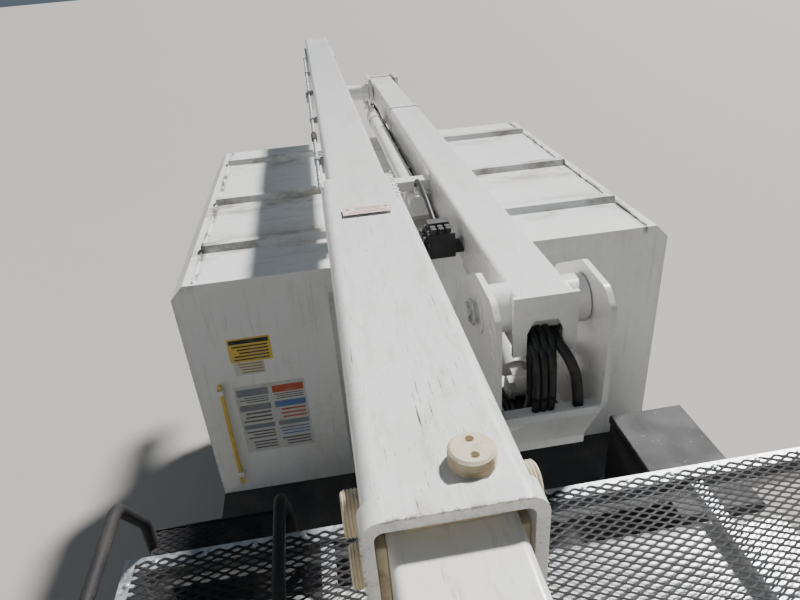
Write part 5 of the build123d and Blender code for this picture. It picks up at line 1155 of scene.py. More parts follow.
class TRUCK_OT_wear_plugs(bpy.types.Operator):
    """Add the threaded nylon plugs and the pads between the sleeve and the inner boom"""

    bl_idname = "truck.wear_plugs"
    bl_label = "Wear pad plugs"

    def execute(self, context):
        s = sizes()
        low, high = node_box("wear_pads")
        plug_height = 0.028
        middle_y = (low[1] + high[1]) / 2
        plug = threaded_plug(s.plug_radius, plug_height, s.thread_pitch)
        top_z = high[2] - plug_height
        spots = [((1.630, middle_y + 0.045, top_z), UP)]
        for z in (2.855, 2.735):
            spots.append(((1.610, low[1] + plug_height, z), (0, -1, 0)))
            spots.append(((1.610, high[1] - plug_height, z), (0, 1, 0)))
        frames = np.concatenate([places(origin, up) for origin, up in spots])
        slippers = [slab((1.550, middle_y + side * 0.0955, 2.733), (1.700, middle_y + side * 0.1115, 2.873), 1)
                    for side in (-1, 1)]
        slippers.append(slab((1.550, middle_y - 0.07, 2.8984), (1.700, middle_y + 0.07, 2.9268)))
        slippers.append(slab((1.550, middle_y - 0.07, 2.6732), (1.700, middle_y + 0.07, 2.7076)))
        piece("wear_plugs", join(copies(plug, frames), *slippers), "upper_boom", "nylon", ["wear_pads"])
        return {"FINISHED"}


# Labels: plain grounds with generic bars on them


def printed(p, ground, bars, soil, upward="Z"):
    """A printed label: its ground, then each bar's colour between two places across it (Y) and along its upward
    axis, which is Z, or X on a flat top."""
    y, z = p.axes("Y" + upward)
    shade = ground
    for (low_y, high_y), (low_z, high_z), colour in bars:
        across = abs(y - (low_y + high_y) / 2) * -1 + (high_y - low_y) / 2
        along = abs(z - (low_z + high_z) / 2) * -1 + (high_z - low_z) / 2
        shade = p.mix(p.step(across.least(along), 0.0, 0.0004), shade, colour)
    dirt = p.patches(0.46, 0.68, 13.0, 5.0, 0.65) * soil
    shade = p.mix(dirt, shade, (0.42, 0.36, 0.28))
    return dict(bump=p.noise(160.0, 3.0), height=0.0002, strength=0.2, Base_Color=shade,
                Roughness=dirt * 0.4 + 0.35)


def rows_of_bars(span_y, span_z, count, colour, gap=0.55, ragged=0.25, seed=1):
    """Bars like lines of print that fill a field, their ends ragged by a seeded draw."""
    draw = np.random.default_rng(seed)
    step = (span_z[1] - span_z[0]) / count
    return [((span_y[0] + draw.random() * ragged * (span_y[1] - span_y[0]), span_y[1]),
             (span_z[0] + k * step + step * gap / 2, span_z[0] + (k + 1) * step - step * gap / 2), colour)
            for k in range(count)]


def yellow_label(p):
    ground = tuple(colours().label_yellow)
    ink = (0.03, 0.03, 0.03)
    bars = [((-1.012, -0.818), (1.972, 1.996), ink)] + rows_of_bars((-1.005, -0.825), (1.872, 1.966), 5, ink,
                                                                    seed=3)
    return printed(p, ground, bars, 0.3)


def white_label(p):
    return printed(p, (0.62, 0.60, 0.52),
                   rows_of_bars((-1.0, -0.87), (1.795, 1.862), 4, (0.35, 0.27, 0.08), seed=5), 0.45)


def chart_label(p):
    grey, red, blue, ink = (0.24, 0.25, 0.27), (0.52, 0.12, 0.07), (0.12, 0.22, 0.42), (0.10, 0.10, 0.10)
    bars = [((-1.03, -0.87), (1.655, 1.70), grey), ((-1.03, -0.87), (1.56, 1.60), grey),
            ((-0.85, -0.69), (1.655, 1.70), red), ((-0.85, -0.69), (1.56, 1.60), blue),
            ((-1.03, -0.87), (1.44, 1.47), grey), ((-0.85, -0.69), (1.44, 1.47), grey)]
    for k, span in enumerate(((1.61, 1.65), (1.48, 1.555), (1.37, 1.43), (1.30, 1.36))):
        bars += rows_of_bars((-1.03, -0.875), span, 3, ink, seed=10 + k)
        bars += rows_of_bars((-0.85, -0.695), span, 3, (ink, red, blue, ink)[k], seed=20 + k)
    return printed(p, (0.60, 0.60, 0.58), bars, 0.4)


def faded_label(p):
    red = (0.50, 0.10, 0.085)
    bars = [((-0.402, -0.265), (0.548, 0.5495), red), ((-0.402, -0.265), (0.6005, 0.602), red),
            ((-0.402, -0.4005), (0.548, 0.602), red), ((-0.2665, -0.265), (0.548, 0.602), red),
            ((-0.396, -0.384), (0.556, 0.568), red), ((-0.284, -0.272), (0.556, 0.568), red)]
    bars += rows_of_bars((-0.392, -0.276), (0.578, 0.598), 2, red, 0.5, 0.15, 31)
    bars += rows_of_bars((-0.376, -0.292), (0.553, 0.574), 2, (0.30, 0.16, 0.14), 0.5, 0.2, 32)
    return printed(p, (0.74, 0.67, 0.64), bars, 0.5, "X")


def stick_yellow(p):
    """Yellow fibreglass, sun-bleached, with dirty streaks."""
    streak = p.patches(0.46, 0.66, 16.0, 4.0, 0.6, (12, 12, 1))
    shade = p.mix(streak * 0.5, tuple(colours().label_yellow), (0.34, 0.24, 0.06))
    return dict(Base_Color=shade, Roughness=streak * 0.2 + 0.45)


class TRUCK_OT_labels(bpy.types.Operator):
    """Add the labels without words on the chip box's front wall, and the yellow stick in its two brackets"""

    bl_idname = "truck.labels"
    bl_label = "Labels and stick"

    def execute(self, context):
        wall = node_box("chip_box")[1][0]
        # name, finish, low and high Y, low and high Z
        labels = (
            ("caution_label", "yellow_label", (-1.020, -0.810), (1.865, 2.005)),
            ("small_label", "white_label", (-1.010, -0.860), (1.790, 1.863)),
            ("sign_chart", "chart_label", (-1.040, -0.680), (1.285, 1.722)),
        )
        for name, finish_name, across, upward in labels:
            shape = slab((wall + 0.0001, across[0], upward[0]), (wall + 0.0009, across[1], upward[1]), 0, 0.003,
                         0.0003)
            piece(name, shape, "chassis", finish_name)
        z, bow = np.linspace(1.10, 1.76, 24), 0.006
        path = np.stack([wall + 0.021 + bow * np.sin(np.linspace(0, pi, len(z))), -1.10 + 0.010 * (z - 1.43),
                         z], 1)
        stick = sweep(path, rounded(0.008, 0.010, 0.004), up=(0, 1, 0))
        piece("yellow_stick", stick, "chassis", "stick_yellow")
        # rear and front off the wall, right, left, half height and corner of each bracket's plates
        plates = ((0.0003, 0.003, -1.135, -1.065, 0.018, 0.006), (0.002, 0.034, -1.116, -1.113, 0.014, 0.001),
                  (0.002, 0.034, -1.087, -1.084, 0.014, 0.001), (0.0335, 0.0362, -1.116, -1.084, 0.014, 0.001))
        brackets = [slab((wall + rear, right, z - half), (wall + front, left, z + half), 0, corner)
                    for z in (1.17, 1.72) for rear, front, right, left, half, corner in plates]
        piece("stick_brackets", join(*brackets), "chassis", "box_white")
        return {"FINISHED"}


def tyre_shape(centre, radius, width, bead, depth):
    """A tyre round Y: a closed section of (side, radius), turned; inside the tread the radius drops by the
    groove depth where the section meets a groove or where a shoulder lug ends."""
    half = width / 2
    section = [(-0.62, bead), (-0.80, bead + 0.012), (-0.93, bead + 0.045), (-1.0, bead + 0.085),
               (-0.985, bead + 0.115), (-0.94, radius - 0.024), (-0.86, radius - 0.010),
               (-0.80, radius - 0.004)]
    tread = [-0.72, -0.60, -0.585, -0.53, -0.515, -0.24, -0.225, -0.17, -0.155, 0.155, 0.17, 0.225, 0.24, 0.515,
             0.53, 0.585, 0.60, 0.72]
    left = [(s * half, r) for s, r in section]
    crown = [(s * half, radius - 0.003 * (s / 0.8) ** 2) for s in tread]
    right = [(-s, r) for s, r in reversed(left)]
    inside = half * 0.55
    inner = [(inside, bead + 0.004), (inside, bead + 0.03), (-inside, bead + 0.03), (-inside, bead + 0.004)]
    ring = np.array(left + crown + right + inner)
    around, lug_every = 176, 4
    turn = np.linspace(0, 2 * pi, around, endpoint=False)
    share = np.abs(ring[:, 0]) / half
    groove = ((share > 0.165) & (share < 0.23)) | ((share > 0.525) & (share < 0.59))
    groove &= ring[:, 1] > radius - 0.006
    lug = (share > 0.61) & (share < 0.99) & (ring[:, 1] > radius - 0.030)
    gap = (np.arange(around) % lug_every) == 0
    drop = depth * (groove[:, None] | (lug[:, None] & gap[None]))
    r = ring[:, 1:] - drop
    points = np.stack([r * np.cos(turn), np.broadcast_to(ring[:, :1], r.shape), r * np.sin(turn)], -1)
    return grid(points + np.asarray(centre), (True, True))


class TRUCK_OT_tyres(bpy.types.Operator):
    """Replace the plain tyres by ones with tread and sidewall, and add the wheel nuts and hub caps"""

    bl_idname = "truck.tyres"
    bl_label = "Tyres"

    front_disc: length("Front disc", "Outer face of a front wheel's disc, from the middle", 0.990)
    rear_disc: length("Rear disc", "Outer face of the rear wheels' discs, from the middle", 0.959)
    front_cap: length("Front cap", "Outer end of a front hub, from the middle", 1.050)
    rear_cap: length("Rear cap", "Outer end of a rear hub, from the middle", 1.055)
    bolt_circle: length("Bolt circle", "Radius of the circle of wheel nuts", 0.112)

    def execute(self, context):
        width, bead = np.ptp(node_box("tyre_front_left")[:, 1]), 0.250
        for name, body, node in WHEELS:
            low, high = node_box(node)
            radius = (high[2] - low[2]) / 2
            middle = (low + high) / 2
            ends = {low[1] + width / 2, high[1] - width / 2} if high[1] - low[1] > 1.5 * width else {middle[1]}
            shapes = [tyre_shape((middle[0], y, middle[2]), radius, width, bead, sizes().tread_depth)
                      for y in sorted(ends)]
            piece(f"tyre_tread_{name}", join(*shapes), body, "tyre_rubber", [node])
            side = 1 if middle[1] > 0 else -1
            front = high[1] - low[1] < 0.4
            disc, end = (self.front_disc, self.front_cap) if front else (self.rear_disc, self.rear_cap)
            x, z = (circle(self.bolt_circle, 10) + middle[[0, 2]]).T
            ring = np.stack([x, np.full(10, side * disc), z], 1)
            nuts = copies(hex_bolt(0.0155), places(ring, (0, side, 0)))
            cap = turned([(0.058, -0.004), (0.058, 0.012), (0.046, 0.020), (0.044, 0.034), (0.034, 0.041)], 28,
                         (middle[0], side * end, middle[2]), (0, side, 0))
            piece(f"wheel_nuts_{name}", join(nuts, cap), body, "galvanised")
        return {"FINISHED"}


class TRUCK_OT_hoses(bpy.types.Operator):
    """Add the bundle of lines in the lower boom's mouth, the clipped cylinder lines and the valve block"""

    bl_idname = "truck.hoses"
    bl_label = "Hydraulic lines"

    mouth: bpy.props.FloatVectorProperty(
        name="Mouth lines", description="Y of the lines in the front row of the lower boom's mouth", size=3,
        default=(0.150, 0.176, 0.202))

    def execute(self, context):
        r = sizes().hose_radius
        lines = []
        # X of a row where it hangs, its height in the boom and its step to the side
        for x, z, shift in ((0.700, 2.438, 0.0), (0.674, 2.466, 0.012), (0.650, 2.452, -0.004)):
            for y in self.mouth:
                y += shift
                side = y - 5 * abs(shift)
                lines.append(tube([(0.30, y, z), (0.50, y, z), (x - 0.08, y, z + 0.004),
                                   (x - 0.026, y, z - 0.006), (x, y, z - 0.045), (x + 0.014, y, 2.320),
                                   (x + 0.010, y, 2.215), (x - 0.035, (y + side) / 2, 2.120),
                                   (0.55, side, 2.062), (0.42, side, 2.045), (0.34, side, 2.030)], r * 1.2))
        lines.append(tube([(0.30, 0.234, 2.440), (0.50, 0.234, 2.440), (0.615, 0.235, 2.446),
                           (0.668, 0.243, 2.436), (0.698, 0.262, 2.402), (0.710, 0.282, 2.345),
                           (0.714, 0.292, 2.280), (0.712, 0.298, 2.215), (0.685, 0.302, 2.140),
                           (0.60, 0.305, 2.070), (0.45, 0.300, 2.050), (0.36, 0.300, 2.040)],
                          r * 1.65))
        bundle = piece("mouth_hoses", join(*lines), None, "hose_rubber")
        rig.blend(bundle, "turret", "lower_boom", start=(0.70, 0.195, 2.24), end=(0.70, 0.195, 2.43))

        block = slabs([((-0.150, -0.055, 2.470), (-0.020, 0.055, 2.580), 1),
                       ((-0.135, -0.045, 2.580), (-0.085, 0.045, 2.604), 2),
                       ((-0.140, 0.050, 2.485), (-0.030, 0.094, 2.500), 2)], 0.008)
        knobs = [bar((x, y, 2.578), (x, y, 2.600), 0.012) for x in (-0.062, -0.036)
                 for y in (-0.030, 0.0, 0.030)]
        coils = [bar((x, -0.075, z), (x, -0.054, z), 0.016) for x in (-0.125, -0.085, -0.045)
                 for z in (2.500, 2.550)]
        piece("valve_block", join(block, *knobs, *coils), "lower_boom", "black_plastic")
        clip = (0.080, 2.432)
        rear = [(-0.150, 0.045, 2.490), (-0.220, 0.066, 2.450), (-0.400, *clip), (-0.900, *clip),
                (-1.700, *clip), (-2.500, *clip), (-2.760, 0.079, 2.440), (-2.860, 0.062, 2.486),
                (-2.846, 0.030, 2.545), (-2.775, 0.015, 2.560), (-2.755, 0.015, 2.530)]
        near = [(-0.150, 0.020, 2.510), (-0.260, 0.012, 2.545), (-0.480, 0.010, 2.600), (-0.660, 0.013, 2.598),
                (-0.722, 0.015, 2.565), (-0.725, 0.015, 2.530)]
        piece("cylinder_hoses", join(tube(rear, r), tube(near, r)), "lower_boom", "hose_rubber")
        clips = [((x - 0.016, clip[0] - 0.016, clip[1] - 0.016), (x + 0.016, 0.0945, clip[1] + 0.016), 0)
                 for x in np.arange(-0.5, -2.3, -0.45)]
        caps = [bar((x, 0.015, 2.529), (x, 0.015, 2.552), r + 0.003) for x in (-0.725, -2.755)]
        piece("hose_clips", join(slabs(clips), *caps), "lower_boom", "galvanised")
        return {"FINISHED"}


class TRUCK_OT_boom_trim(bpy.types.Operator):
    """Add the levelling rod, the pin caps, the collar bolts, the rivets and the faded label of the booms"""

    bl_idname = "truck.boom_trim"
    bl_label = "Boom trim"

    def execute(self, context):
        rod_y, rod_z = -0.461, 2.895
        rod = bar((-3.15, rod_y, rod_z), (0.20, rod_y, rod_z), 0.008)
        guides = [((x - 0.012, -0.472, rod_z - 0.014), (x + 0.012, -0.4345, rod_z + 0.014), 0)
                  for x in np.arange(-3.08, 0.2, 0.73)]
        piece("levelling_rod", join(rod, slabs(guides)), "upper_boom", "galvanised")
        screws = [bar((x - 0.06, rod_y, rod_z), (x + 0.06, rod_y, rod_z), 0.013, 6) for x in (-0.55, -1.60)]
        piece("turnbuckles", join(*screws), "upper_boom", "black_plastic")

        bolt, cap = hex_bolt(0.009), [(0.044, 0.0), (0.046, 0.002), (0.046, 0.005), (0.043, 0.007)]
        # name, body, middles of its right and left cap, bolts in each and the radius of their circle
        caps = (
            ("pivot_caps", "lower_boom", ((0.55, -0.020, 2.54), (0.55, 0.400, 2.54)), 3, 0.029),
            ("elbow_caps", "elbow", ((-3.51, -0.482, 2.52), (-3.51, 0.331, 2.52)), 4, 0.031),
        )
        for name, body, centres, count, circle_radius in caps:
            shapes = []
            for centre, way in zip(centres, (-1, 1)):
                turn = np.linspace(0, 2 * pi, count, endpoint=False) + 0.4
                ring = np.asarray(centre) + np.stack([circle_radius * np.cos(turn), np.full(count, 0.007 * way),
                                                      circle_radius * np.sin(turn)], 1)
                shapes += [turned(cap, 32, centre, (0, way, 0)), copies(bolt, places(ring, (0, way, 0)))]
            piece(name, join(*shapes), body, "galvanised")

        top, edge = node_box("upper_boom")[1][2], -0.222
        rivets = [(x, edge, top) for x in np.arange(0.245, 0.47, 0.036)]
        piece("sleeve_rivets", copies(dome_bolt(0.0042), places(rivets)), "upper_boom", "boom_paint")
        label = slab((0.545, -0.405, top + 0.0001), (0.605, -0.262, top + 0.0006), 2, 0.002, 0.0002)
        piece("sleeve_label", label, "upper_boom", "faded_label")
        return {"FINISHED"}


class TRUCK_OT_box_trim(bpy.types.Operator):
    """Add the tail doors' rods and hinge bolts, the tape, mud flaps, exhaust, tank straps and latches"""

    bl_idname = "truck.box_trim"
    bl_label = "Box and chassis trim"

    def execute(self, context):
        rear = node_box("tail_door_left")[0][0] + 0.0005
        for side, name in ((1, "left"), (-1, "right")):
            y = side * 0.048
            rods = [bar((rear - 0.016, y, 1.045), (rear - 0.016, y, 2.225), 0.012)]
            rods.append(bar((rear - 0.022, y, 1.46), (rear - 0.022, side * 0.36, 1.45), 0.009))
            keeps = [((rear - 0.032, y - 0.03, z - 0.02), (rear, y + 0.03, z + 0.02), 0)
                     for z in (1.09, 1.46, 1.80, 2.16)]
            keeps.append(((rear - 0.034, side * 0.30, 1.425), (rear, side * 0.33, 1.475), 0))
            hinges = [(rear - 0.0002, side * (0.92 + 0.085 * k), z) for z in (1.180, 1.635, 2.090)
                      for k in range(3)]
            shape = join(*rods, slabs(keeps), copies(dome_bolt(0.009), places(hinges, (-1, 0, 0))))
            piece(f"tail_lock_{name}", shape, f"tail_door_{name}", "galvanised")

        tape = [((-2.64, side * 1.2202, 1.032), (-0.42, side * 1.2208, 1.080), 1) for side in (1, -1)]
        piece("reflective_tape", slabs(tape, 0.0002), "chassis", "tape")
        flaps, irons = [], []
        for side in (1, -1):
            u, v = np.linspace(0, 1, 13), np.linspace(0, 1, 9)
            y = side * (0.69 + 0.49 * v)
            z = 0.928 - 0.63 * u
            sag = 0.022 * u[:, None] ** 2 * (1 + 0.4 * np.cos(v[None] * 5.0))
            front = np.stack([-2.196 + sag, np.broadcast_to(y, sag.shape),
                              np.broadcast_to(z[:, None], sag.shape)], -1)
            back = front - (0.008, 0, 0)
            flaps.append(grid(np.concatenate([front, back[::-1]]), (True, False)))
            for edge in (0, -1):
                flaps.append(grid(np.stack([front[:, edge], back[:, edge]])))
            irons.append(((-2.214, side * 0.68, 0.888), (-2.2045, side * 1.10, 0.930), 0))
        piece("mud_flaps", join(*flaps), "chassis", "tyre_rubber")
        piece("flap_irons", slabs(irons), "chassis", "galvanised")

        pipe = tube([(2.36, -0.40, 0.74), (2.28, -0.50, 0.66), (2.15, -0.55, 0.60), (1.90, -0.55, 0.60),
                     (0.60, -0.55, 0.60), (-0.35, -0.55, 0.60), (-0.58, -0.58, 0.585), (-0.66, -0.66, 0.56)],
                    0.036, sides=20)
        muffler = turned([(0.036, 0.0), (0.060, 0.012), (0.088, 0.030), (0.092, 0.050), (0.092, 0.31),
                          (0.095, 0.315),
                          (0.092, 0.32), (0.092, 0.60), (0.088, 0.62), (0.060, 0.638), (0.036, 0.65)], 36,
                         (1.35, -0.55, 0.60), (1, 0, 0))
        hangers = slabs([((x - 0.015, -0.56, 0.63), (x + 0.015, -0.42, 0.70), 0)
                         for x in (1.45, 1.90, 0.2, -0.3)])
        piece("exhaust", join(pipe, muffler, hangers), "chassis", "exhaust_steel")

        low, high = node_box("fuel_tank")
        outer = high[1]
        straps = slabs([((x - 0.022, low[1] + 0.012, low[2] - 0.002), (x + 0.022, outer + 0.002, 0.642), 0)
                        for x in (1.42, 1.98)], 0.048)
        cap = turned([(0.030, -0.02), (0.030, 0.010), (0.046, 0.012), (0.048, 0.030), (0.042, 0.036),
                      (0.030, 0.037),
                      (0.028, 0.033)], 24, (1.27 + 0.45, outer, 0.555), (0, 1, 0))
        piece("tank_trim", join(straps, cap), "chassis", "galvanised")
        latch = slabs([((x - 0.025, 1.2198, 1.290), (x + 0.025, 1.2245, 1.378), 1) for x in (0.10, 0.45)])
        piece("tool_box_latches", latch, "chassis", "galvanised")
        boxes = slabs([((0.14, side * 1.2185, 0.68), (0.20, side * 1.2215, 0.77), 1) for side in (1, -1)])
        piece("side_box_latches", boxes, "chassis", "galvanised")
        return {"FINISHED"}


def bent(corners, radius, steps=6):
    """A closed outline with round corners: from each corner, a quadratic curve between the two points that lie
    the radius away from it on its edges."""
    c = np.asarray(corners, float)
    before, after = c + unit(np.roll(c, 1, 0) - c) * radius, c + unit(np.roll(c, -1, 0) - c) * radius
    t = np.linspace(0, 1, steps)[None, :, None]
    curve = (1 - t) ** 2 * before[:, None] + 2 * t * (1 - t) * c[:, None] + t ** 2 * after[:, None]
    return curve.reshape(-1, c.shape[1])


def corners(left, low, right, high):
    """A rectangle's corners, turning left."""
    return [(left, low), (right, low), (right, high), (left, high)]


class TRUCK_OT_cab(bpy.types.Operator):
    """Furnish the cab: seats, dashboard and wheel, and the seals, wipers, mirrors, lamps and nose outside"""

    bl_idname = "truck.cab"
    bl_label = "Cab fittings"

    screen_low: spot("Screen foot", "Foot of the windshield's skin", (2.960, 0.0, 1.480))
    screen_high: spot("Screen head", "Head of the windshield's skin", (2.430, 0.0, 1.985))
    wheel_hub: spot("Steering wheel", "Middle of the steering wheel", (2.200, 0.430, 1.370))

    def execute(self, context):
        self.seats()
        self.dashboard()
        self.screen()
        self.outside()
        return {"FINISHED"}

    def seats(self):
        for name, low_y, high_y, channels in (("driver", 0.150, 0.705, 3), ("bench", -0.705, 0.135, 4)):
            seat = cushion((1.255, low_y, 0.975), (1.855, high_y, 1.150), 0, channels)
            back = cushion((1.215, low_y, 1.105), (1.335, high_y, 1.650), 0.16, channels)
            for part, shape in (("cushion", seat), ("back", back)):
                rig.padded(piece(f"seat_{part}_{name}", shape, "chassis", "seat_fabric"), 0.8)

    def dashboard(self):
        frame_box = slabs([((1.250, -0.70, 0.9505), (1.820, 0.70, 0.990), 2)], 0.02)
        x, z = 2.59, 1.265
        path = [(x, y, z) for y in np.linspace(-0.895, 0.895, 40)]
        section = bent([(2.735, 1.135), (2.500, 1.135), (2.434, 1.270), (2.480, 1.375), (2.735, 1.398)], 0.028)
        section = (section - (x, z)) * (-1, 1)
        hub = np.array(self.wheel_hub)
        lean = unit(np.array([-0.82, 0.0, 0.57]))
        binnacle = slab((2.415, 0.200, 1.330), (2.640, 0.660, 1.440), 1, 0.035, 0.01, 7)
        bezels = [turned([(r + 0.006, 0.0), (r + 0.006, 0.006), (r, 0.008), (r - 0.003, 0.003)], 28,
                         (2.4155, across, 1.384), (-1, 0, 0))
                  for across, r in ((0.345, 0.042), (0.445, 0.042), (0.535, 0.026), (0.265, 0.026),
                                    (0.595, 0.018))]
        vents = [((2.436, across - 0.055, 1.265), (2.452, across + 0.055, 1.320), 0)
                 for across in (-0.80, -0.42, 0.02, 0.78)]
        glove = [((2.432, -0.72, 1.185), (2.452, -0.50, 1.245), 0)]
        column = bar(hub - lean * 0.33, hub - lean * 0.002, 0.030, 20)
        shroud = turned([(0.030, -0.20), (0.052, -0.17), (0.056, -0.05), (0.044, -0.012)], 24, hub, lean)
        stalks = [bar(hub - lean * 0.05, hub - lean * 0.05 + np.array([0.02, way * 0.17, 0.03]), 0.006)
                  for way in (1, -1)]
        panel = sweep(path, section)
        shape = join(panel, frame_box, binnacle, *bezels, slabs(vents + glove), column, shroud, *stalks)
        piece("dashboard", shape, "chassis", "black_plastic", ["cab_interior"])
        rim = lathe(circle(0.0165, 12) + (0.1885, 0.015), 64, True)
        pad = lathe([(0.058, 0.0), (0.062, 0.010), (0.052, 0.026), (0.030, 0.034)], 32)
        spokes = [bar((0.05 * cos(a), 0.05 * sin(a), 0.014), (0.182 * cos(a), 0.182 * sin(a), 0.015), 0.010)
                  for a in (0.0, 2.3, -2.3)]
        wheel = copies(join(rim, pad, *spokes), places(hub, lean))
        piece("steering_wheel", wheel, "chassis", "black_plastic")

    def screen(self):
        low, high = np.array(self.screen_low), np.array(self.screen_high)
        rise = unit(high - low)
        out = np.array([-rise[2], 0.0, rise[0]]) * -1

        def on_screen(across, up, off=0.0):
            return low + np.multiply.outer(up, rise) + np.multiply.outer(across, [0, 1.0, 0]) + out * off

        edge = bent([(-0.935, 0.060), (0.935, 0.060), (0.826, 0.692), (-0.826, 0.692)], 0.055)
        seals = [sweep(on_screen(edge[:, 0], edge[:, 1], -0.012), circle(0.011, 8), up=out, loop=True)]
        for side in (1, -1):
            foot = on_screen(side * 0.12 - 0.30, 0.030, 0.010)
            tip = on_screen(side * 0.42 - 0.30, 0.125, 0.008)
            seals.append(bar(foot - out * 0.02, foot + out * 0.012, 0.012))
            seals.append(bar(foot, tip, 0.005, 8))
            blade = [on_screen(side * 0.42 - 0.30 + k, 0.110 + 0.03 * abs(k), -0.006)
                     for k in (-0.26, -0.1, 0.1, 0.26)]
            seals.append(tube(blade, 0.0055, up=out, sides=8, steps=5))
        piece("screen_seal_and_wipers", join(*seals), "chassis", "seal_rubber")

        for side, name in ((1, "left"), (-1, "right")):
            outline = bent([(1.395, 1.450), (1.395, 1.850), (2.324, 1.850), (2.565, 1.620), (2.565, 1.450)],
                           0.04)
            skin = side * (1.010 - (outline[:, 1] - 1.440) * (0.130 / 0.490) - 0.010)
            loop = np.stack([outline[:, 0], skin, outline[:, 1]], 1)
            piece(f"door_seal_{name}", sweep(loop, circle(0.009, 8), up=(0, 1, 0), loop=True), f"door_{name}",
                  "seal_rubber")
            glass = slabs([((2.5655, side * 1.022, low), (2.5668, side * 1.180, high), 0)
                           for low, high in ((1.500, 1.770), (1.425, 1.490))], 0.012)
            piece(f"mirror_glass_{name}", glass, f"door_{name}", "mirror_glass")

    def outside(self):
        lamps = [cushion((2.225, y - 0.048, 2.022), (2.305, y + 0.048, 2.052), bulge=0.5)
                 for y in (-0.62, -0.20, 0.0, 0.20, 0.62)]
        for side in (1, -1):
            reach = sorted((side * 0.870, side * 0.945))
            lamps.append(cushion((4.008, reach[0], 0.965), (4.030, reach[1], 1.115), bulge=0.4))
        piece("marker_lamps", join(*lamps), "chassis", "amber_lens")
        rings = []
        # middle, half width, foot, head and half the section's width
        for middle, half, foot, head, edge in ((0.670, 0.196, 0.886, 1.194, 0.011),
                                               (-0.670, 0.196, 0.886, 1.194, 0.011),
                                               (0.0, 0.444, 0.896, 1.214, 0.012)):
            path = bent(corners(middle - half, foot, middle + half, head), 0.03)
            loop = np.column_stack([np.full(len(path), 4.022), path])
            rings.append(sweep(loop, rounded(0.006, edge, 0.004), up=(1, 0, 0), loop=True))
        piece("nose_bezels", join(*rings), "chassis", "chrome_rod")
        points, faces = expanded_metal((0.948, -0.392, 3.9985), (1.162, 0.392, 4.0005), 0.016, 0.012, 0.0016)
        piece("grille_screen", (points[:, ::-1], faces), "chassis", "black_paint", slot="black_plastic")
        plates = [((4.0203, -0.152, 0.800), (4.0218, 0.152, 0.890), 0),
                  ((-2.6716, 0.560, 0.892), (-2.6702, 0.860, 1.012), 0)]
        piece("bare_plates", slabs(plates, 0.012), "chassis", "bare_plate")
        screws = [(4.0218, y, z) for y in (-0.13, 0.13) for z in (0.812, 0.878)]
        piece("plate_screws", copies(dome_bolt(0.005), places(screws, (1, 0, 0))), "chassis", "galvanised")


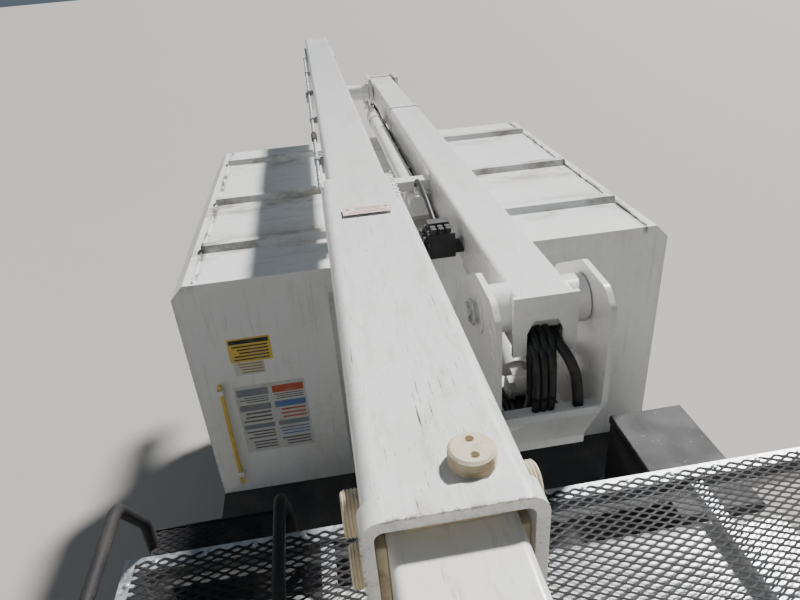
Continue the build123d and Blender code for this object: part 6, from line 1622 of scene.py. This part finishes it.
class TRUCK_OT_bucket(bpy.types.Operator):
    """Add the bucket's control box with its levers, its lip bead, steps and harness ring"""

    bl_idname = "truck.bucket"
    bl_label = "Bucket fittings"

    def execute(self, context):
        low, high = node_box("bucket")
        rim, inner = high[2], high[1] - 0.030
        middle = (low[0] + high[0]) / 2
        box = slabs([((middle - 0.17, inner - 0.125, rim - 0.235), (middle + 0.17, inner - 0.008, rim - 0.085),
                      1)], 0.02)
        plinth = slabs([((middle - 0.155, inner - 0.110, rim - 0.087),
                         (middle + 0.155, inner - 0.020, rim - 0.078), 2)], 0.01)
        piece("bucket_controls", join(box, plinth), "bucket", "black_plastic")
        levers, knobs = [], []
        for x in np.linspace(middle - 0.12, middle + 0.12, 5):
            foot = np.array([x, inner - 0.065, rim - 0.080])
            levers.append(bar(foot, foot + (0.0, -0.004, 0.052), 0.0045))
            levers.append(turned([(0.015, 0.0), (0.013, 0.006), (0.008, 0.012)], 16, foot, UP))
            knobs.append(cushion(foot + (-0.012, -0.016, 0.046), foot + (0.012, 0.008, 0.074), bulge=0.8))
        piece("control_levers", join(*levers), "bucket", "galvanised")
        piece("control_knobs", join(*knobs), "bucket", "knob_red")
        bead = 0.016
        path = bent(corners(low[0] + bead, low[1] + bead, high[0] - bead, high[1] - bead), 0.085, 9)
        loop = np.column_stack([path, np.full(len(path), rim - 0.0265)])
        piece("bucket_lip_bead", sweep(loop, circle(0.006, 10), loop=True), "bucket", "bucket_gelcoat")
        u = np.linspace(0, 1, 21)
        steps = []
        for z in (low[2] + 0.33, low[2] + 0.62):
            arc = np.stack([middle + 0.20 * (2 * u - 1), low[1] + 0.024 - 0.018 * np.sin(pi * u) ** 0.5,
                            np.full(21, z)], 1)
            steps.append(sweep(arc, rounded(0.010, 0.018, 0.006)))
        piece("bucket_steps", join(*steps), "bucket", "bucket_gelcoat")
        ring = copies(lathe(circle(0.006, 10) + (0.024, 0), 28, True),
                      places((middle + 0.235, high[1] - 0.060, rim - 0.075), (0, 1, 0)))
        piece("harness_ring", ring, "bucket", "galvanised")
        return {"FINISHED"}


class TRUCK_PT_panel(bpy.types.Panel):
    """Lists the truck's pieces in the sidebar"""

    bl_label = "Cherry Picker Truck"
    bl_idname = "TRUCK_PT_panel"
    bl_space_type = "VIEW_3D"
    bl_region_type = "UI"
    bl_category = "Truck"

    def draw(self, context):
        for step in STEPS:
            self.layout.operator(step.bl_idname)
        for group in (context.scene.truck_sizes, context.scene.truck_colours):
            for name in group.__annotations__:
                self.layout.prop(group, name)


STEPS = (TRUCK_OT_camera, TRUCK_OT_stage, TRUCK_OT_finishes, TRUCK_OT_mesh, TRUCK_OT_bolts, TRUCK_OT_wear_plugs,
         TRUCK_OT_labels, TRUCK_OT_tyres, TRUCK_OT_hoses, TRUCK_OT_boom_trim, TRUCK_OT_box_trim, TRUCK_OT_cab,
         TRUCK_OT_bucket)
CLASSES = (TruckSizes, TruckColours, *STEPS, TRUCK_PT_panel)


def register():
    for cls in CLASSES:
        bpy.utils.register_class(cls)
    bpy.types.Scene.truck_sizes = bpy.props.PointerProperty(type=TruckSizes)
    bpy.types.Scene.truck_colours = bpy.props.PointerProperty(type=TruckColours)


def unregister():
    del bpy.types.Scene.truck_sizes
    del bpy.types.Scene.truck_colours
    for cls in reversed(CLASSES):
        bpy.utils.unregister_class(cls)


def main():
    """Registers the add-on, makes every piece in order and writes the two boxes."""
    register()
    for step in STEPS:
        group, name = step.bl_idname.split(".")
        getattr(getattr(bpy.ops, group), name)()
    with open(SIZE_FILE, "w") as file:
        json.dump({"cad": CAD_BOX, "visual": [list(corner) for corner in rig.bounds()]}, file)


if __name__ == "__main__":
    main()
